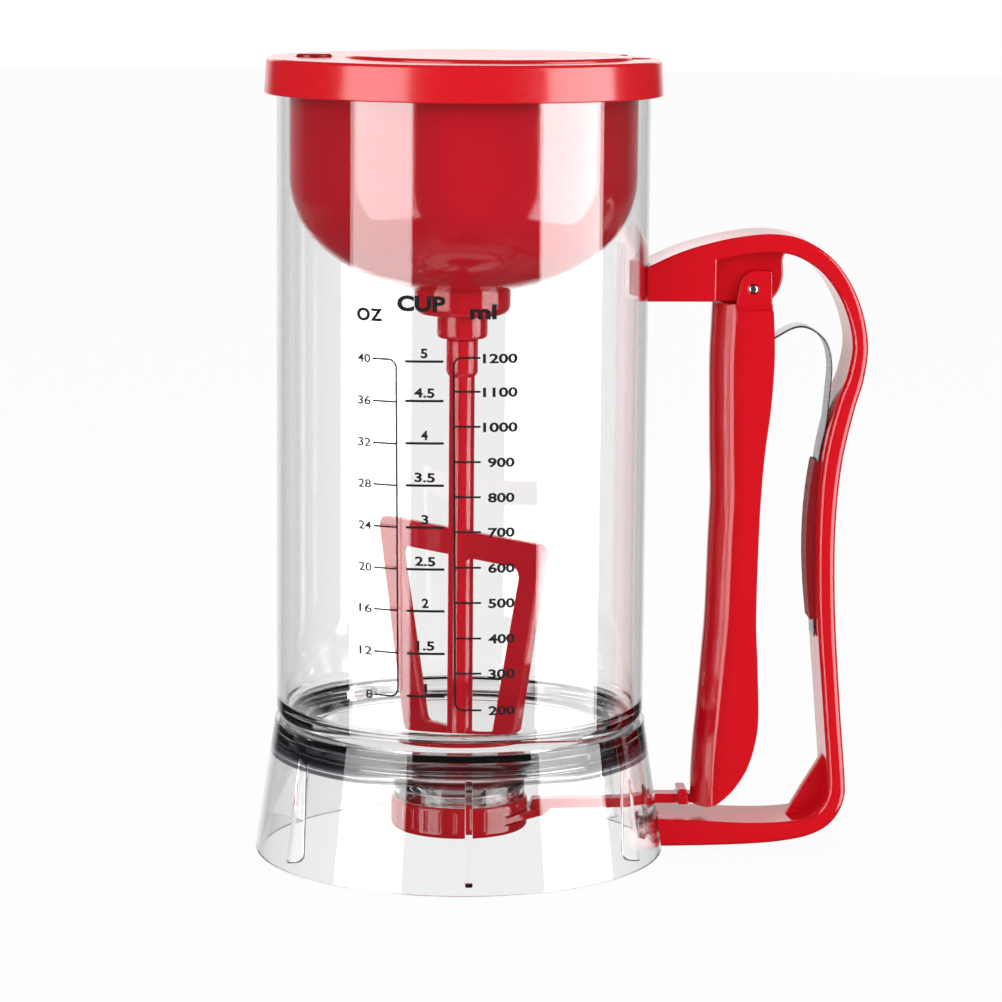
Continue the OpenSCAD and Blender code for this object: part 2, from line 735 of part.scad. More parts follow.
// The clip that holds the spring's tail against the strap
module spring_keeper() {
    low = bar_z + handle_h * 0.36;
    high = bar_z + handle_h * 0.63;
    n = 10;
    slot_depth = spring_tail_gap + spring_t;
    color(dark_red)
        difference() {
            union() {
                upright(keeper_w)
                    polygon(concat(face_line(low, high, -0.02),
                        [for (i = [n:-1:0]) let (s = i / n, z = low + (high - low) * s)
                            [strap_face(z) - keeper_end_t - (keeper_t - keeper_end_t) * sin(180 * s), z]]));
                keeper_pegs(0);
            }
            upright(spring_w + 0.6)
                polygon(concat(face_line(low - 1, high + 1, 0.5), reversed(face_line(low - 1, high + 1, -slot_depth))));
        }
}

module keeper_pegs(gap) {
    for (share = [0.39, 0.60]) for (side = [-1, 1])
        translate([strap_face(bar_z + handle_h * share) - 0.6, side * (keeper_w / 2 - 1.3), bar_z + handle_h * share])
            rotate([0, 90, 0])
                cylinder(r = keeper_peg_r + gap, h = 3.2 + gap);
}

// The lid: a rim over the tube, the top plate and the battery pot below it
module lid_cover() {
    color(red)
        difference() {
            union() {
                rotate_extrude()
                    polygon(concat(
                        [[0, plate_z], [lid_skirt_r, plate_z], [lid_skirt_r, lid_z + 0.6],
                         [lid_skirt_r + 0.5, lid_z], [lid_r - 0.5, lid_z], [lid_r, lid_z + 0.6]],
                        arc([lid_r - lid_draft - 1.2, lid_top - 1.2], 1.2, 0, 90, 6),
                        [[0, lid_top]]));
                translate([door_x, 0, pot_floor_z - box_wall])
                    cylinder(r = door_hole_r + pot_wall, h = plate_z - pot_floor_z + box_wall + over);
                translate([pack_x, 0, 0])
                    battery_box(box_wall, box_z - box_wall, pot_floor_z);
                for (side = [-1, 1])
                    translate([button_x + 6, side * peg_y, board_z - 0.8])
                        cylinder(r = peg_r, h = plate_z - board_z + 0.8 + over);
            }
            translate([door_x, 0, door_z - 0.05])
                cylinder(r = door_r + door_gap, h = door_t + 2);
            translate([door_x, 0, pot_floor_z])
                cylinder(r = door_hole_r, h = lid_h);
            translate([pack_x, 0, 0])
                battery_box(0, box_z, plate_z);
            for (sx = [-1, 1]) for (sy = [-1, 1])
                translate([pack_x + sx * housing_screw_x, sy * housing_screw_y, pot_floor_z - box_wall - over])
                    cylinder(r = housing_screw_r + 0.25, h = 4);
            for (side = [-1, 1])
                hook_slot(side);
            translate([button_x, 0, plate_z - over])
                cylinder(r = button_r + door_gap, h = lid_plate + 2 * over);
            translate([door_x + door_r - 1, 0, lid_top - 2])
                cylinder(r = 7, h = 3);
        }
}

// The block of the battery box, with its walls grown by wall, from z = low to high
module battery_box(wall, low, high) {
    translate([-box_in_x - wall, -box_in_y - wall, low])
        cube([2 * (box_in_x + wall), 2 * (box_in_y + wall), high - low]);
}

// The opening that a hook of the battery door swings through
module hook_slot(side) {
    edge = door_x - sqrt(pow(door_r + door_gap, 2) - hook_y * hook_y);
    translate([edge, side * hook_y - hook_w / 2 - 0.5, plate_z - 3.4])
        cube([8, hook_w + 1, lid_plate + 3.4 - (lid_top - door_z)]);
}

module lid_seal() {
    color(silicone)
        translate([0, 0, tube_top + pin_gap])
            difference() {
                cylinder(r = tube_r, h = plate_z - tube_top - pin_gap);
                translate([0, 0, -over])
                    cylinder(r = bowl_r + seat_gap, h = 3);
            }
}

// Height of the bowl's outer face at radius r, for a bowl of radius a and depth b
function bowl_curve(a, b, r) = bowl_z - b * pow(1 - pow(r / a, bowl_power), 1 / bowl_power);

// The bowl that houses the motor, with screw posts, the motor's seat and the neck
module motor_housing() {
    outer = [for (i = [1:18]) let (r = bowl_r * sin(i * 5)) [r, bowl_curve(bowl_r, bowl_round, r)]];
    inner = [for (i = [18:-1:0]) let (r = bowl_in_r * sin(i * 5)) [r, bowl_curve(bowl_in_r, bowl_round - bowl_wall, r)]];
    color(red)
        difference() {
            union() {
                rotate_extrude()
                    polygon(concat([[0, bowl_foot]], outer, [[bowl_r, plate_z], [bowl_in_r, plate_z]], inner));
                rotate_extrude()
                    polygon(concat(
                        [[0, tip_z]], arc([tip_r - 1.2, tip_z + 1.2], 1.2, -90, 0, 5), [[tip_r, neck_z]],
                        arc([neck_r - 3.2, neck_z + 3.2], 3.2, -90, 0, 7),
                        [[neck_r, bowl_foot + 2], [0, bowl_foot + 2]]));
                intersection() {
                    bowl_posts();
                    rotate_extrude()
                        polygon(concat([[0, bowl_foot + 1]],
                            [for (p = outer) [max(p[0] - bowl_wall / 2, 0), p[1] + bowl_wall / 2]],
                            [[bowl_r - bowl_wall / 2, plate_z], [0, plate_z]]));
                }
            }
            translate([0, 0, bush_z])
                cylinder(r = bush_r, h = bowl_foot - bush_z + bowl_wall + over);
            translate([0, 0, seal_z])
                cylinder(r = seal_r, h = seal_t);
            translate([0, 0, tip_z - over])
                cylinder(r = spindle_d / 2 + 0.5, h = 30);
            translate([0, 0, hub_z])
                cylinder(r = hub_r + 0.8, h = motor_z - hub_z + over);
            translate([0, 0, motor_z])
                cylinder(r = motor_r + seat_gap, h = motor_l);
            for (sx = [-1, 1]) for (sy = [-1, 1])
                translate([pack_x + sx * housing_screw_x, sy * housing_screw_y,
                           pot_floor_z - box_wall - housing_screw_l])
                    cylinder(r = housing_screw_r + pin_gap, h = housing_screw_l + 1);
            for (side = [-1, 1])
                translate([side * clamp_x, 0, clamp_z - 9])
                    cylinder(r = clamp_screw_r + pin_gap, h = 10);
        }
}

// Posts for the lid's screws and the clamp's screws, and the cup that the motor stands in
module bowl_posts() {
    for (sx = [-1, 1]) for (sy = [-1, 1])
        translate([pack_x + sx * housing_screw_x, sy * housing_screw_y, bowl_foot])
            cylinder(r = post_r, h = pot_floor_z - box_wall - seat_gap - bowl_foot);
    for (side = [-1, 1])
        translate([side * clamp_x, 0, bowl_foot])
            cylinder(r = post_r, h = clamp_z - bowl_foot);
    translate([0, 0, bowl_foot + 1])
        cylinder(r = motor_r + 1.8, h = motor_z - bowl_foot + 9);
}

module housing_screws() {
    color(steel)
        for (sx = [-1, 1]) for (sy = [-1, 1])
            translate([pack_x + sx * housing_screw_x, sy * housing_screw_y, pot_floor_z])
                screw(housing_screw_r, housing_screw_l, 2.3, 1.8);
}

// The battery door: a disc with a locating ring, two hooks and a finger notch
module battery_door() {
    color(red)
        difference() {
            union() {
                translate([door_x, 0, door_z])
                    rotate_extrude()
                        polygon(concat([[0, 0], [door_r - 0.2, 0], [door_r, 0.2]],
                            arc([door_r - 1, door_t - 1], 1, 0, 90, 5), [[0, door_t]]));
                translate([door_x, 0, plate_z + 0.3])
                    difference() {
                        cylinder(r = door_hole_r - 0.4, h = door_z - plate_z);
                        translate([0, 0, -over])
                            cylinder(r = door_hole_r - 2, h = 4);
                    }
                for (side = [-1, 1])
                    hook(side);
            }
            translate([door_x + door_r + 3.2, 0, door_z - over])
                cylinder(r = 7, h = door_t + 2 * over);
        }
}

module hook(side) {
    edge = door_x - sqrt(pow(door_r, 2) - hook_y * hook_y);
    translate([0, side * hook_y, 0])
        upright(hook_w)
            polygon([[edge + 1.6, door_z + 1], [edge + 1.6, plate_z - 0.4], [edge - 1.6, plate_z - 0.6],
                     [edge - 1.6, plate_z - 1.5], [edge - 0.9, plate_z - 2.1], [edge + 2.8, plate_z - 2.1],
                     [edge + 3.4, plate_z - 1.5], [edge + 3.4, door_z + 1]]);
}

// Four AA cells side by side, every other one turned round
module batteries() {
    body_l = cell_l - 1.2;
    color([0.25, 0.27, 0.3])
        for (i = [0:cell_count - 1])
            translate([pack_x + (i - (cell_count - 1) / 2) * cell_pitch, 0, cell_z])
                rotate([i % 2 == 0 ? 90 : -90, 0, 0])
                    translate([0, 0, -cell_l / 2]) {
                        cylinder(r = cell_d / 2, h = body_l);
                        cylinder(r = 2.7, h = cell_l);
                    }
}

// A flat contact and a coiled contact for each cell, on plates in the box's end walls
module battery_contacts() {
    plate_t = 0.5;
    room = box_in_y - cell_l / 2 - plate_t - 0.1;
    color(steel)
        for (i = [0:cell_count - 1])
            for (end = [-1, 1])
                translate([pack_x + (i - (cell_count - 1) / 2) * cell_pitch, end * (box_in_y - plate_t / 2), cell_z]) {
                    translate([-5, -plate_t / 2, -5.5])
                        cube([10, plate_t, 11]);
                    rotate([end * 90, 0, 0])
                        if ((i % 2 == 0) == (end > 0))
                            contact_coil(plate_t / 2 - 0.1, plate_t / 2 + room);
                        else
                            cylinder(r = 2.6, h = plate_t / 2 + room - 0.1);
                }
}

// A conical coil of three close turns, from z = low to high
module contact_coil(low, high) {
    turns = 3;
    rise = (high - low) / turns / 2;
    outer = [for (k = [0:2 * turns]) [4.6 - k * 0.2 - (k % 2) * 0.45, low + k * rise]];
    rotate_extrude()
        polygon(concat(outer, [for (p = reversed(outer)) p - [0.8, 0]]));
}

// The sprung button: a cap, two wings under the plate and a stem into the switch
module power_button() {
    color(dark_red)
        translate([button_x, 0, 0]) {
            rotate_extrude()
                polygon(concat([[0, wing_z + wing_t / 2], [button_r, wing_z + wing_t / 2]],
                    arc([button_r - 0.8, button_top - 0.8], 0.8, 0, 60, 4),
                    [[button_r - 2.2, button_top - 0.15], [0, button_top - 0.5]]));
            translate([-wing_w / 2, -wing_l / 2, wing_z])
                cube([wing_w, wing_l, wing_t]);
            translate([0, 0, board_z + board_t + switch_h - 0.2])
                cylinder(r = stem_r, h = wing_z - board_z - board_t - switch_h + 0.7);
        }
}

module power_switch() {
    color([0.1, 0.35, 0.2])
        difference() {
            union() {
                translate([button_x - 4.4, -6, board_z])
                    cube([12.4, 12, board_t]);
                translate([button_x - switch_a / 2, -switch_a / 2, board_z + board_t - 0.1])
                    cube([switch_a, switch_a, switch_h]);
            }
            for (side = [-1, 1])
                translate([button_x + 6, side * peg_y, board_z - over])
                    cylinder(r = peg_r + pin_gap, h = board_t + 2 * over);
            translate([button_x, 0, board_z + board_t + switch_h - button_travel - 1])
                cylinder(r = stem_r + run_gap, h = button_travel + 2);
        }
}

module motor() {
    color(steel)
        difference() {
            union() {
                translate([0, 0, motor_z + pin_gap])
                    cylinder(r = motor_r, h = motor_l - pin_gap);
                translate([0, 0, motor_z + motor_l - 0.2])
                    cylinder(r = 5, h = 2);
                for (side = [-1, 1])
                    translate([-0.4, side * 9.8 - 1.5, motor_z + motor_l - 0.2])
                        cube([0.8, 3, 6]);
            }
            translate([0, 0, motor_z - over])
                cylinder(r = motor_shaft_r + pin_gap, h = 12);
        }
}

// The strap over the motor, held down by two screws
module motor_clamp() {
    color([0.2, 0.2, 0.22])
        translate([0, 0, clamp_z + 0.02])
            difference() {
                union() {
                    for (side = [-1, 1])
                        translate([side * clamp_x, 0, 0])
                            cylinder(r = post_r + 0.8, h = clamp_t);
                    translate([-clamp_x, -4, 0])
                        cube([2 * clamp_x, 8, clamp_t]);
                    translate([0, 0, -1.0])
                        cylinder(r = 8, h = clamp_t + 1.0);
                }
                translate([0, 0, -2])
                    cylinder(r = 5 + run_gap, h = clamp_t + 4);
                for (side = [-1, 1])
                    translate([side * clamp_x, 0, -over])
                        cylinder(r = clamp_screw_r + 0.2, h = clamp_t + 2 * over);
            }
}

module clamp_screws() {
    color(steel)
        for (side = [-1, 1])
            translate([side * clamp_x, 0, clamp_z + clamp_t + 0.04])
                screw(clamp_screw_r, 9, 2.4, 1.6);
}

module shaft_bush() {
    color([0.9, 0.88, 0.82])
        translate([0, 0, bush_z])
            difference() {
                cylinder(r = bush_r - 0.02, h = hub_z - bush_z - 0.3);
                translate([0, 0, -over])
                    cylinder(r = spindle_d / 2 + pin_gap, h = 20);
            }
}

module shaft_seal() {
    color(silicone)
        translate([0, 0, seal_z + 0.02])
            rotate_extrude()
                polygon([[spindle_d / 2 + pin_gap, 0], [seal_r - 0.02, 0], [seal_r - 0.02, seal_t - 0.04],
                         [spindle_d / 2 + 1.6, seal_t - 0.04], [spindle_d / 2 + 1.2, seal_t * 0.4],
                         [spindle_d / 2 + pin_gap, seal_t * 0.3]]);
}

// The steel spindle with the hub that is pressed on the motor's shaft
module drive_spindle() {
    low = sleeve_top - socket_l + 1;
    color(steel)
        difference() {
            union() {
                translate([0, 0, low])
                    cylinder(r = spindle_d / 2, h = hub_z - low + over);
                translate([0, 0, hub_z])
                    cylinder(r = hub_r, h = motor_z - hub_z - 1);
                translate([0, 0, hub_z + 1.5])
                    cylinder(r = motor_shaft_r, h = motor_z - hub_z + 7);
            }
            translate([spindle_d / 2 - 0.5, -3, low - over])
                cube([2, 6, socket_l - 2]);
        }
}

// The mixing paddle: a sleeve and shaft, and a flat frame with two windows
module paddle() {
    flat_x = spindle_d / 2 - 0.5 + pin_gap;
    color(red)
        difference() {
            union() {
                translate([0, 0, sleeve_top - sleeve_l])
                    cylinder(r = sleeve_r, h = sleeve_l);
                translate([0, 0, sleeve_top - sleeve_l - 1.2])
                    cylinder(r1 = shaft_d / 2, r2 = sleeve_r, h = 1.2);
                translate([0, 0, paddle_z])
                    cylinder(r = shaft_d / 2, h = sleeve_top - sleeve_l - paddle_z);
                rotate([0, 0, paddle_turn])
                    upright(paddle_t)
                        paddle_frame();
            }
            difference() {
                translate([0, 0, sleeve_top - socket_l])
                    cylinder(r = spindle_d / 2 + pin_gap, h = socket_l + over);
                translate([flat_x, -3, sleeve_top - socket_l - over])
                    cube([3, 6, socket_l - 2]);
            }
        }
}

// The frame's outline, standing in X and Z, with its two windows
module paddle_frame() {
    foot_r2 = 7;
    top_r = 2.5;
    lean = (paddle_top_w - paddle_foot_w) / paddle_h;
    side_top = paddle_top_w - member_w * 1.3;
    side_foot = paddle_foot_w - member_w * 1.05;
    difference() {
        polygon(concat(
            [for (p = arc([paddle_foot_w - foot_r2 + 1, paddle_z + foot_r2], foot_r2, -90, -8, 6)) p],
            [[paddle_top_w - lean * top_r, paddle_top - top_r], [paddle_top_w - top_r, paddle_top],
             [-paddle_top_w + top_r, paddle_top], [-paddle_top_w + lean * top_r, paddle_top - top_r]],
            [for (p = arc([-paddle_foot_w + foot_r2 - 1, paddle_z + foot_r2], foot_r2, 188, 270, 6)) p]));
        for (side = [-1, 1])
            polygon([
                [side * shaft_d / 2 * 0.9, paddle_z + member_foot], [side * side_foot, paddle_z + member_foot],
                [side * side_top, paddle_top - member_w - 2], [side * (side_top - 2), paddle_top - member_w],
                [side * shaft_d / 2 * 0.9, paddle_top - member_w]]);
    }
}

container();
base_skirt();
outlet_gasket();
valve_cap();
valve_slide();
handle();
handle_screws();
pivot_pin();
trigger();
leaf_spring();
spring_keeper();
lid_cover();
lid_seal();
motor_housing();
housing_screws();
battery_door();
batteries();
battery_contacts();
power_button();
power_switch();
motor();
motor_clamp();
clamp_screws();
shaft_bush();
shaft_seal();
drive_spindle();
paddle();
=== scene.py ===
"""Dresses the batter dispenser: mouldings, clear tube, printed scale, steel parts and studio."""
import math

import bpy
import bmesh
import numpy as np
from mathutils import Matrix, Vector


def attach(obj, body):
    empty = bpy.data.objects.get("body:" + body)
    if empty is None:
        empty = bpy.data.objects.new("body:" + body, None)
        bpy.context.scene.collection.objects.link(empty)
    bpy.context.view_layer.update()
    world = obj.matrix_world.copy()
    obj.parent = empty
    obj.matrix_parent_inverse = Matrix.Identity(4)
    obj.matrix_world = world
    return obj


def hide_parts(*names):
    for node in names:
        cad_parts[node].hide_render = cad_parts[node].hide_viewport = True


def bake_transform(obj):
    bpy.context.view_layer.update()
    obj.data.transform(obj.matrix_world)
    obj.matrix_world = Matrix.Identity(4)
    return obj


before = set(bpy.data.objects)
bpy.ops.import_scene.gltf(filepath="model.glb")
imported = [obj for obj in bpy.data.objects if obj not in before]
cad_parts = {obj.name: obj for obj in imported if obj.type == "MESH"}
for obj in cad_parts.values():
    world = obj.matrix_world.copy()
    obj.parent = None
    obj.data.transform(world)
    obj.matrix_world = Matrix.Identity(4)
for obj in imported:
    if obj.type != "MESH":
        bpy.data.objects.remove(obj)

bl_info = {
    "name": "Batter dispenser",
    "version": (1, 0, 0),
    "blender": (4, 5, 0),
    "location": "View3D > Sidebar > Dispenser",
    "description": "Builds the looks of a batter dispenser around its packed parts",
    "category": "Object",
}

# Sizes in millimetres that the solids share
TUBE_R = 57.5
BORE_R = 54.9
TUBE_TOP = 242.8
OUTLET_R = 7.5
FUNNEL_FOOT = 17.725
FUNNEL_SLOPE = 0.61292
SKIRT_H = 43.5
FOOT_R = 64.5
SKIRT_SLOPE = 0.154023
LUG_NECK_Y = 4
LUG_HEAD_Y = 7
LUG_NECK_X = 60.5
LUG_END_X = 63.1
LUG_Z = (175.9, 181.9)
LUG_GAP = 0.1
PIVOT = (89.497, 177.7)
REACH = 65.3
BAR_Z = 6.5
SCREW_Y = 7
HANDLE_H = 185.7
STRAP_W = 25.0
PLATE_Z = 244.3
LID_Z = 236.8
LID_TOP = 247.9
LID_R = 61.3
DOOR_X = 7.6
DOOR_R = 44.0
DOOR_Z = 245.95
DOOR_T = 2.95
HOOK_Y = 12
BUTTON_X = -46.0
CELLS_X = 7.6
CELL_PITCH = 14.9


def srgb(code):
    """Linear colour of a hex code: c / 12.92 when dark, else ((c + 0.055) / 1.055) ^ 2.4."""
    c = np.array([int(code[i:i + 2], 16) for i in (1, 3, 5)]) / 255
    return tuple(float(v) for v in np.where(c <= 0.04045, c / 12.92, ((c + 0.055) / 1.055) ** 2.4))


class DispenserSizes(bpy.types.PropertyGroup):
    """Sizes of the finish that a user would change."""

    moulded_edge: bpy.props.FloatProperty(
        name="Moulded edge", description="Radius of the rounded edges of the grip strap",
        default=0.0022, min=0.0008, max=0.0026, unit="LENGTH")
    thin_edge: bpy.props.FloatProperty(
        name="Thin edge", description="Radius of the rounded edges of thin plates",
        default=0.0006, min=0.0001, max=0.001, unit="LENGTH")
    digit_height: bpy.props.FloatProperty(
        name="Digit height", description="Height of the printed numbers",
        default=0.0029, min=0.002, max=0.004, unit="LENGTH")
    line_width: bpy.props.FloatProperty(
        name="Line width", description="Width of the printed lines of the ml scale",
        default=0.0006, min=0.0003, max=0.001, unit="LENGTH")
    ink_thickness: bpy.props.FloatProperty(
        name="Ink thickness", description="Thickness of the screen printed ink",
        default=0.00003, min=0.00001, max=0.0001, unit="LENGTH")
    flow_wave: bpy.props.FloatProperty(
        name="Flow wave", description="Spacing of the slow waves that moulding leaves in a gloss face",
        default=0.03, min=0.005, max=0.1, unit="LENGTH")


class DispenserColours(bpy.types.PropertyGroup):
    """Colours of the materials, and the strength of the lamps."""

    red: bpy.props.FloatVectorProperty(
        name="Gloss red", description="Colour of the gloss ABS mouldings",
        default=srgb("#D8101F"), size=3, subtype="COLOR", min=0, max=1)
    # Painted light: a lighter copy of the gloss red for the bowl and the paddle, making up for the light that
    # the tube and the lid keep from them
    mixer_red_painted_light: bpy.props.FloatVectorProperty(
        name="Mixer red", description="Lighter shade of the bowl and the paddle, seen through the tube",
        default=srgb("#F0172C"), size=3, subtype="COLOR", min=0, max=1)
    # On the spring clip this dark red is painted shade, for the grip's shadow on it
    dark_red: bpy.props.FloatVectorProperty(
        name="Dark red", description="Colour of the button and the spring clip",
        default=srgb("#A0141F"), size=3, subtype="COLOR", min=0, max=1)
    ink: bpy.props.FloatVectorProperty(
        name="Ink", description="Colour of the printed scale",
        default=srgb("#161618"), size=3, subtype="COLOR", min=0, max=1)
    clear: bpy.props.FloatVectorProperty(
        name="Clear plastic", description="Tint of the clear SAN mouldings",
        default=srgb("#FFFFFF"), size=3, subtype="COLOR", min=0, max=1)
    softbox: bpy.props.FloatProperty(
        name="Softboxes", description="Radiance of the two upright softboxes",
        default=7.3, min=0, max=30)
    room: bpy.props.FloatProperty(
        name="Room light", description="Strength of the even light from the room",
        default=0.5, min=0, max=2)
    gloss: bpy.props.FloatProperty(
        name="Room in reflections", description="Brightness of the room's front and sides in a gloss face",
        default=0.06, min=0, max=1)


# Shapes: all in millimetres, as numpy arrays

def rounded(corners, steps=6):
    """Closed outline with its corners (x, y, radius) rounded: each arc has its centre on the bisector of
    the corner, radius / sin(half angle) away, and runs from one tangent point to the other."""
    c = np.asarray(corners, float)
    p, r = c[:, :2], c[:, 2]
    u = np.roll(p, 1, 0) - p
    v = np.roll(p, -1, 0) - p
    u /= np.linalg.norm(u, axis=1)[:, None]
    v /= np.linalg.norm(v, axis=1)[:, None]
    half = np.arccos(np.clip((u * v).sum(1), -1, 0.9999)) / 2
    middle = u + v
    length = np.linalg.norm(middle, axis=1)
    middle /= np.where(length > 1e-6, length, 1)[:, None]
    centre = p + middle * (r / np.sin(half))[:, None]
    start = p + u * (r / np.tan(half))[:, None] - centre
    end = p + v * (r / np.tan(half))[:, None] - centre
    a = np.arctan2(start[:, 1], start[:, 0])
    turn = (np.arctan2(end[:, 1], end[:, 0]) - a + np.pi) % (2 * np.pi) - np.pi
    angle = a[:, None] + turn[:, None] * np.linspace(0, 1, steps + 1)
    arc = centre[:, None] + r[:, None, None] * np.stack([np.cos(angle), np.sin(angle)], -1)
    flat = arc.reshape(-1, 2)
    keep = np.linalg.norm(flat - np.roll(flat, 1, 0), axis=1) > 1e-4
    return flat[keep]


def smooth(points, steps):
    """Catmull-Rom curve through the points, steps pieces between each two, worked out for all at once."""
    p = np.asarray(points, float)
    q = np.vstack([p[:1], p, p[-1:]])
    a, b, c, d = q[:-3, None], q[1:-2, None], q[2:-1, None], q[3:, None]
    s = (np.arange(steps) / steps)[None, :, None]
    curve = 0.5 * (2 * b + (c - a) * s + (2 * a - 5 * b + 4 * c - d) * s ** 2
                   + (3 * b - a - 3 * c + d) * s ** 3)
    return np.vstack([curve.reshape(-1, p.shape[1]), p[-1:]])


def sideways(line):
    """Unit normals to the left of a plane line, from the direction between each point's neighbours."""
    d = np.gradient(np.asarray(line)[:, :2], axis=0)
    d /= np.linalg.norm(d, axis=1)[:, None]
    return np.stack([-d[:, 1], d[:, 0]], 1)


def revolve(profile, segments=192):
    """Grid of a turned shape: profile point (r, z) at angle a lies at (r cos a, r sin a, z)."""
    a = np.arange(segments) * 2 * np.pi / segments
    r, z = profile[:, :1], profile[:, 1:]
    return np.stack([r * np.cos(a), r * np.sin(a), z + 0 * a], -1)


def grid_faces(rows, columns, wrap):
    """Quads between neighbours on a grid whose columns close on themselves, and its rows too with wrap."""
    i, j = np.meshgrid(np.arange(rows if wrap else rows - 1), np.arange(columns), indexing="ij")
    k, m = (i + 1) % rows, (j + 1) % columns
    return np.stack([i * columns + j, i * columns + m, k * columns + m, k * columns + j], -1).reshape(-1, 4)


def new_object(name, mesh):
    """Object at the origin with that mesh or curve."""
    piece = bpy.data.objects.new(name, mesh)
    bpy.context.scene.collection.objects.link(piece)
    return piece


def weld(mesh, distance=1e-3):
    """Merges doubles, drops faces that vanish with them, and turns every normal outwards."""
    work = bmesh.new()
    work.from_mesh(mesh)
    bmesh.ops.remove_doubles(work, verts=work.verts, dist=distance)
    bmesh.ops.dissolve_degenerate(work, edges=work.edges, dist=distance / 10)
    bmesh.ops.recalc_face_normals(work, faces=work.faces)
    work.to_mesh(mesh)
    work.free()


def solid(name, grid, wrap=True):
    """Closed surface from a grid of rings. Without wrap its first and last rings are filled."""
    rows, columns = grid.shape[:2]
    faces = grid_faces(rows, columns, wrap).tolist()
    if not wrap:
        ends = (grid[0], grid[-1])
        if np.ptp(ends[0], axis=0).max() > 1e-3:
            faces.append(list(range(columns)))
        if np.ptp(ends[1], axis=0).max() > 1e-3:
            faces.append([(rows - 1) * columns + k for k in range(columns)])
    mesh = bpy.data.meshes.new(name)
    mesh.from_pydata(grid.reshape(-1, 3).tolist(), [], faces)
    weld(mesh)
    return new_object(name, mesh)


def turned(name, corners, segments=192, steps=6):
    """Turned solid from a closed profile of (r, z, corner radius)."""
    return solid(name, revolve(rounded(corners, steps), segments))


def turned_line(name, profile, segments=192):
    """Turned solid from a closed profile that is already a fine line."""
    return solid(name, revolve(np.asarray(profile, float), segments))


def plate(name, loops, depth, edge):
    """Flat shape with holes, standing in X and Z and depth thick about Y = 0: a filled curve whose outline
    is drawn in by the edge radius and pushed out again by a round bevel of that radius."""
    curve = bpy.data.curves.new(name, "CURVE")
    curve.dimensions = "2D"
    curve.fill_mode = "BOTH"
    curve.extrude = depth / 2 - edge
    curve.bevel_depth = edge
    curve.bevel_resolution = 3
    curve.offset = -edge
    for loop in loops:
        spline = curve.splines.new("POLY")
        spline.points.add(len(loop) - 1)
        points = np.column_stack([loop, np.zeros(len(loop)), np.ones(len(loop))])
        spline.points.foreach_set("co", points.ravel())
        spline.use_cyclic_u = True
    shape = new_object(name + "_outline", curve)
    mesh = bpy.data.meshes.new_from_object(shape.evaluated_get(bpy.context.evaluated_depsgraph_get()))
    bpy.data.objects.remove(shape)
    mesh.name = name
    mesh.transform(Matrix.Rotation(math.pi / 2, 4, "X"))
    weld(mesh)
    return new_object(name, mesh)


def strip(name, line, half, out, thick, radius, steps=6):
    """Bar with a rounded rectangle for its section, swept along a line in X and Z. At each point of the line
    the section reaches half to either side in Y and thick along the normal out, and its corners are arcs of
    that radius."""
    a = np.radians(np.linspace(0, 90, steps))[None] + np.radians(90.0 * np.arange(4))[:, None]
    sy, so = np.array([1, -1, -1, 1])[:, None], np.array([1, 1, -1, -1])[:, None]
    r, t = radius[:, None, None], thick[:, None, None]
    y = (sy * (half - r) + r * np.cos(a)).reshape(len(line), -1)
    u = (so * (t - r) + r * np.sin(a)).reshape(len(line), -1)
    rings = np.stack([line[:, :1] + out[:, :1] * u, y, line[:, 1:] + out[:, 1:] * u], -1)
    return solid(name, rings, wrap=False)


def placed(piece, x=0, y=0, z=0, turn=None):
    """Moves a piece's mesh, not its object; turn is a matrix that is applied first."""
    if turn is not None:
        piece.data.transform(turn)
    piece.data.transform(Matrix.Translation((x, y, z)))
    return piece


def joined(name, pieces):
    """One object of several shells."""
    work = bmesh.new()
    for piece in pieces:
        work.from_mesh(piece.data)
        bpy.data.objects.remove(piece)
    mesh = bpy.data.meshes.new(name)
    work.to_mesh(mesh)
    work.free()
    return new_object(name, mesh)


def settle(piece):
    """Applies a piece's modifiers."""
    mesh = bpy.data.meshes.new_from_object(piece.evaluated_get(bpy.context.evaluated_depsgraph_get()))
    piece.modifiers.clear()
    piece.data = mesh
    return piece


# Points closer than this many millimetres are one point
SLIVER = 0.0003


def combine(piece, other, operation):
    """Joins another solid to the piece or cuts it away, exactly, and merges the slivers that this leaves."""
    modifier = piece.modifiers.new("cut", "BOOLEAN")
    modifier.operation = operation
    modifier.solver = "EXACT"
    modifier.use_self = False
    modifier.object = other
    settle(piece)
    bpy.data.objects.remove(other)
    work = bmesh.new()
    work.from_mesh(piece.data)
    bmesh.ops.remove_doubles(work, verts=work.verts, dist=SLIVER)
    bmesh.ops.dissolve_degenerate(work, edges=work.edges, dist=SLIVER)
    work.to_mesh(piece.data)
    work.free()
    if not piece.data.polygons:
        raise RuntimeError(f"nothing is left of {piece.name}")
    return piece


def block(low, high):
    """Box between two corners, for cutting."""
    mesh = bpy.data.meshes.new("block")
    x, y, z = (np.array(v, float) for v in zip(low, high))
    p = np.stack(np.meshgrid(x, y, z, indexing="ij"), -1).reshape(-1, 3)
    faces = [(0, 1, 3, 2), (4, 6, 7, 5), (0, 4, 5, 1), (2, 3, 7, 6), (0, 2, 6, 4), (1, 5, 7, 3)]
    mesh.from_pydata(p.tolist(), [], faces)
    return new_object("block", mesh)


def rod(radius, low, high, axis="Z", segments=64):
    """Plain round bar for cutting, from low to high along an axis."""
    shape = solid("rod", revolve(np.array([[radius, low], [radius, high]]), segments), wrap=False)
    quarter = math.pi / 2
    turns = {"X": Matrix.Rotation(quarter, 4, "Y"), "Y": Matrix.Rotation(-quarter, 4, "X"), "Z": None}
    return placed(shape, turn=turns[axis])


